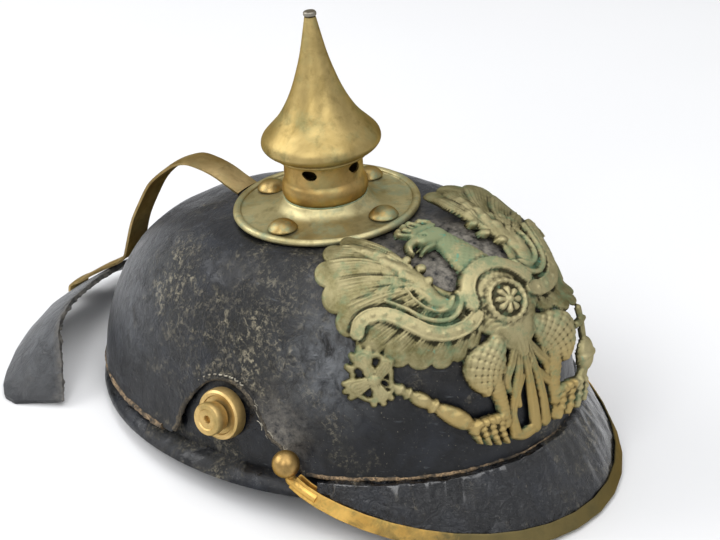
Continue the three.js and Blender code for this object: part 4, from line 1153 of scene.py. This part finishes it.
press(SCEPTRE, lambda at, x, along, half: arched(x, 0.9)
      * (0.95 * half + 0.2 * np.cos(waves(along, 4.6) + 5 * np.abs(x)) * (half > 2.8)))
for row in CROSS_LINKS:
    press(row, rounded(1.7))
boss_u, boss_v = CROSS_BOSS
for u, v in CROSS_LEAVES:
    inner = (boss_u - 0.5 + 0.85 * (u - boss_u + 0.5), boss_v + 0.85 * (v - boss_v), 2.2)
    press([(u, v, 1.7), inner], rounded(1.6), lift=0.3, smooth_line=False)
for row in CROSS_ARMS:
    press(row, lambda at, x, along, half: 1.7 + 0.5 * (1 - x * x)
          + 0.35 * np.abs(np.cos(2 * np.pi * x * 1.5)) * ease(at * 3))
bead(boss_u, boss_v, 2.6, 1.8, lift=1.4, step=0.1)
press(ORB_STEM, rounded(2.6))
bead(*ORB, 4.2)
press([(23.4, -24.5, 1.0), (34.6, -24.5, 1.0)], rounded(0.8), add=True, outline=False)
for bar in ORB_CROSS:
    press(bar, rounded(1.4), lift=0.5, smooth_line=False)
for slot in PIERCED:
    pierce(slot)


OUTSIDE, HALVINGS = 220.0, 26  # a distance beyond the shell, and how often the way to it is halved


def to_shell(u, v, height):
    """Wraps flat places on the shell, turning u and v into angles about a point inside the helmet. The
    surface that lies `height` off the shell is found along each ray by halving."""
    a, e = math.radians(PLATE["azimuth"]), math.radians(PLATE["elevation"])
    ahead = np.array([-math.sin(a) * math.cos(e), -math.cos(a) * math.cos(e), math.sin(e)])
    across = np.array([math.cos(a), -math.sin(a), 0.0])
    lon, lat = u[:, None] / PLATE["radius"], v[:, None] / PLATE["radius"]
    way = np.cos(lat) * (ahead * np.cos(lon) + across * np.sin(lon)) + np.cross(ahead, across) * np.sin(lat)
    near, far = np.zeros(len(way)), np.full(len(way), OUTSIDE)
    for _ in range(HALVINGS):
        middle = (near + far) / 2
        p = np.array(PLATE["centre"]) + way * middle[:, None]
        share = np.clip(p[:, 2] / (TOP + height), 0, 1)
        half = {side: np.maximum((reach + height) * np.maximum(0, 1 - share**rise) ** (1 / round_), 1e-6)
                for side, (reach, rise, round_) in MERIDIAN.items()}
        lengthwise = np.where(p[:, 1] < 0, half["front"], half["back"])
        inside = ((p[:, 0] / half["side"]) ** 2 + (p[:, 1] / lengthwise) ** 2 < 1) & (p[:, 2] < TOP + height)
        near, far = np.where(inside, middle, near), np.where(inside, far, middle)
    return np.array(PLATE["centre"]) + way * near[:, None]


def standoff(u, v):
    """How far the plate lies off the shell: it is sprung away on the wearer's left, most below the wing."""
    return (PLATE["off"] + 1.6 * ease((v - 34) / 14) + 1.6 * ease((u - 12) / 18)
            + 5.5 * ease((u - 8) / 18) * ease((1 - v) / 8))


def cut_sheet(outside):
    """The grid's cells inside the outline, as vertices (row, column) and faces, cut where they meet it."""
    vertices, faces, known = [], [], {}

    def vertex(key, r, c):
        if key not in known:
            known[key] = len(vertices)
            vertices.append((float(r), float(c)))
        return known[key]

    def crossing(p, q):
        p, q = min(p, q), max(p, q)
        t = min(0.92, max(0.08, outside[p] / (outside[p] - outside[q])))
        return vertex((p, q), p[0] + (q[0] - p[0]) * t, p[1] + (q[1] - p[1]) * t)

    within = outside < 0
    count = within[:-1, :-1].astype(int) + within[1:, :-1] + within[:-1, 1:] + within[1:, 1:]
    for r, c in zip(*np.nonzero(count)):
        if count[r, c] == 2 and within[r, c] == within[r + 1, c + 1]:
            continue
        ring = [(r, c), (r, c + 1), (r + 1, c + 1), (r + 1, c)]
        face = []
        for p, q in zip(ring, ring[1:] + ring[:1]):
            if within[p]:
                face.append(vertex(p, *p))
            if within[p] != within[q]:
                face.append(crossing(p, q))
        faces.append(face)
    return np.array(vertices), faces


def sampled(field, at):
    """The grid's value between its points, at rows and columns given as fractions."""
    r, c = np.floor(at[:, 0]).astype(int), np.floor(at[:, 1]).astype(int)
    r, c = np.clip(r, 0, field.shape[0] - 2), np.clip(c, 0, field.shape[1] - 2)
    fr, fc = at[:, 0] - r, at[:, 1] - c
    low = field[r, c] * (1 - fc) + field[r, c + 1] * fc
    high = field[r + 1, c] * (1 - fc) + field[r + 1, c + 1] * fc
    return low * (1 - fr) + high * fr


places, faces = cut_sheet(RELIEF["outside"])
u, v = sampled(grid_u, places), sampled(grid_v, places)
inward = np.clip(-sampled(RELIEF["outside"], places), 0, None)
rise = sampled(RELIEF["rise"], places) * ease(0.25 + inward / 1.3)
sheet = bpy.data.meshes.new("eagle_plate_brass")
sheet.from_pydata((to_shell(u, v, standoff(u, v) + PLATE["thick"] + rise) * MM).tolist(), [], faces)
NEIGHBOURS = [(4, 0), (-4, 0), (0, 4), (0, -4), (3, 3), (-3, -3), (3, -3), (-3, 3)]
around_it = sum(np.roll(RELIEF["rise"], step, (0, 1)) for step in NEIGHBOURS) / len(NEIGHBOURS)
head_and_neck = np.exp(-((u - 1) ** 2 / 130 + (v - 38) ** 2 / 260))
banner_rolls = 0.7 * np.exp(-((np.abs(u) - 23) ** 2 / 60 + (v - 12) ** 2 / 40))
# The material reads how far the relief stands up and how far it lies below what is round it, and where damp
# has sat and hands have rubbed.
keep(sheet, "raised", np.clip(rise / 4.4, 0, 1))
keep(sheet, "sunk", np.clip(sampled(around_it - RELIEF["rise"], places) / 0.9, 0, 1))
keep(sheet, "damp", np.clip(head_and_neck * 1.3 + banner_rolls, 0, 1))
keep(sheet, "handled", ease((-6 - v) / 22) * (u < 20))
plate = bpy.data.objects.new("eagle_plate_brass", sheet)
bpy.context.scene.collection.objects.link(plate)
edit(plate)
face_outward()
apply_modifier(plate, "SOLIDIFY", thickness=SHEET * MM, offset=-1)
dress(plate, ["eagle_plate"], stamped_brass, None)

# ------------------------------------------------------------------ stage, light and camera
deselect()
bpy.ops.mesh.primitive_plane_add(size=8)
floor = bpy.context.object
floor.name = "floor"
# A sweep of matt white paper, a shade uneven.
paper, add, _, grain, _ = new_material("white_paper_sweep", shade=(300, 2, 0.55, 0))
floor.data.materials.append(finish_material(paper, add, "#DCDCDD", [("#E2E2E2", grain.shade)], 0.9, [], {}))
floor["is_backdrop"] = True

scene = bpy.context.scene
scene.world = bpy.data.worlds.new("studio")
scene.world.use_nodes = True
sky = scene.world.node_tree.nodes["Background"].inputs
sky[0].default_value, sky[1].default_value = linear("#F6F8FC"), 0.58
scene.view_settings.view_transform = "Standard"


def aimed(name, data, azimuth, elevation, distance, base, target):
    """A lamp or camera, a distance from `base`, that looks at `target`; azimuth runs from the front towards
    the wearer's right."""
    a, e = math.radians(azimuth), math.radians(elevation)
    away = Vector((-math.sin(a) * math.cos(e), -math.cos(a) * math.cos(e), math.sin(e)))
    made = bpy.data.objects.new(name, data)
    scene.collection.objects.link(made)
    made.location = base + away * distance
    made.rotation_mode = "QUATERNION"
    made.rotation_quaternion = (target - made.location).to_track_quat("-Z", "Y")
    return made


def softbox(name, azimuth, elevation, distance, size, power):
    """A rectangular diffused white lamp."""
    light = bpy.data.lights.new(name, "AREA")
    light.shape, light.size, light.size_y, light.energy = "RECTANGLE", size[0], size[1], power
    aimed(name, light, azimuth, elevation, distance, Vector((0, 0, 0)), Vector((0, 0, 0.08)))


softbox("near_softbox", 80, 42, 1.7, (0.5, 1.0), 9)
softbox("far_softbox", 22, 46, 1.7, (0.5, 1.0), 7)
softbox("top_softbox", 0, 88, 1.8, (1.6, 1.6), 13)
softbox("back_softbox", 152, 36, 1.8, (1.2, 1.0), 17)

target = ORIGIN + Vector((0, 0, 80.94)) * MM
camera = aimed("camera", bpy.data.cameras.new("camera"), 53.1, 29.0, 0.840, target, target)
camera.data.lens, camera.data.sensor_width = 94.05, 36
camera.data.shift_x, camera.data.shift_y = 0.0236, -0.0539
scene.camera = camera

low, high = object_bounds()
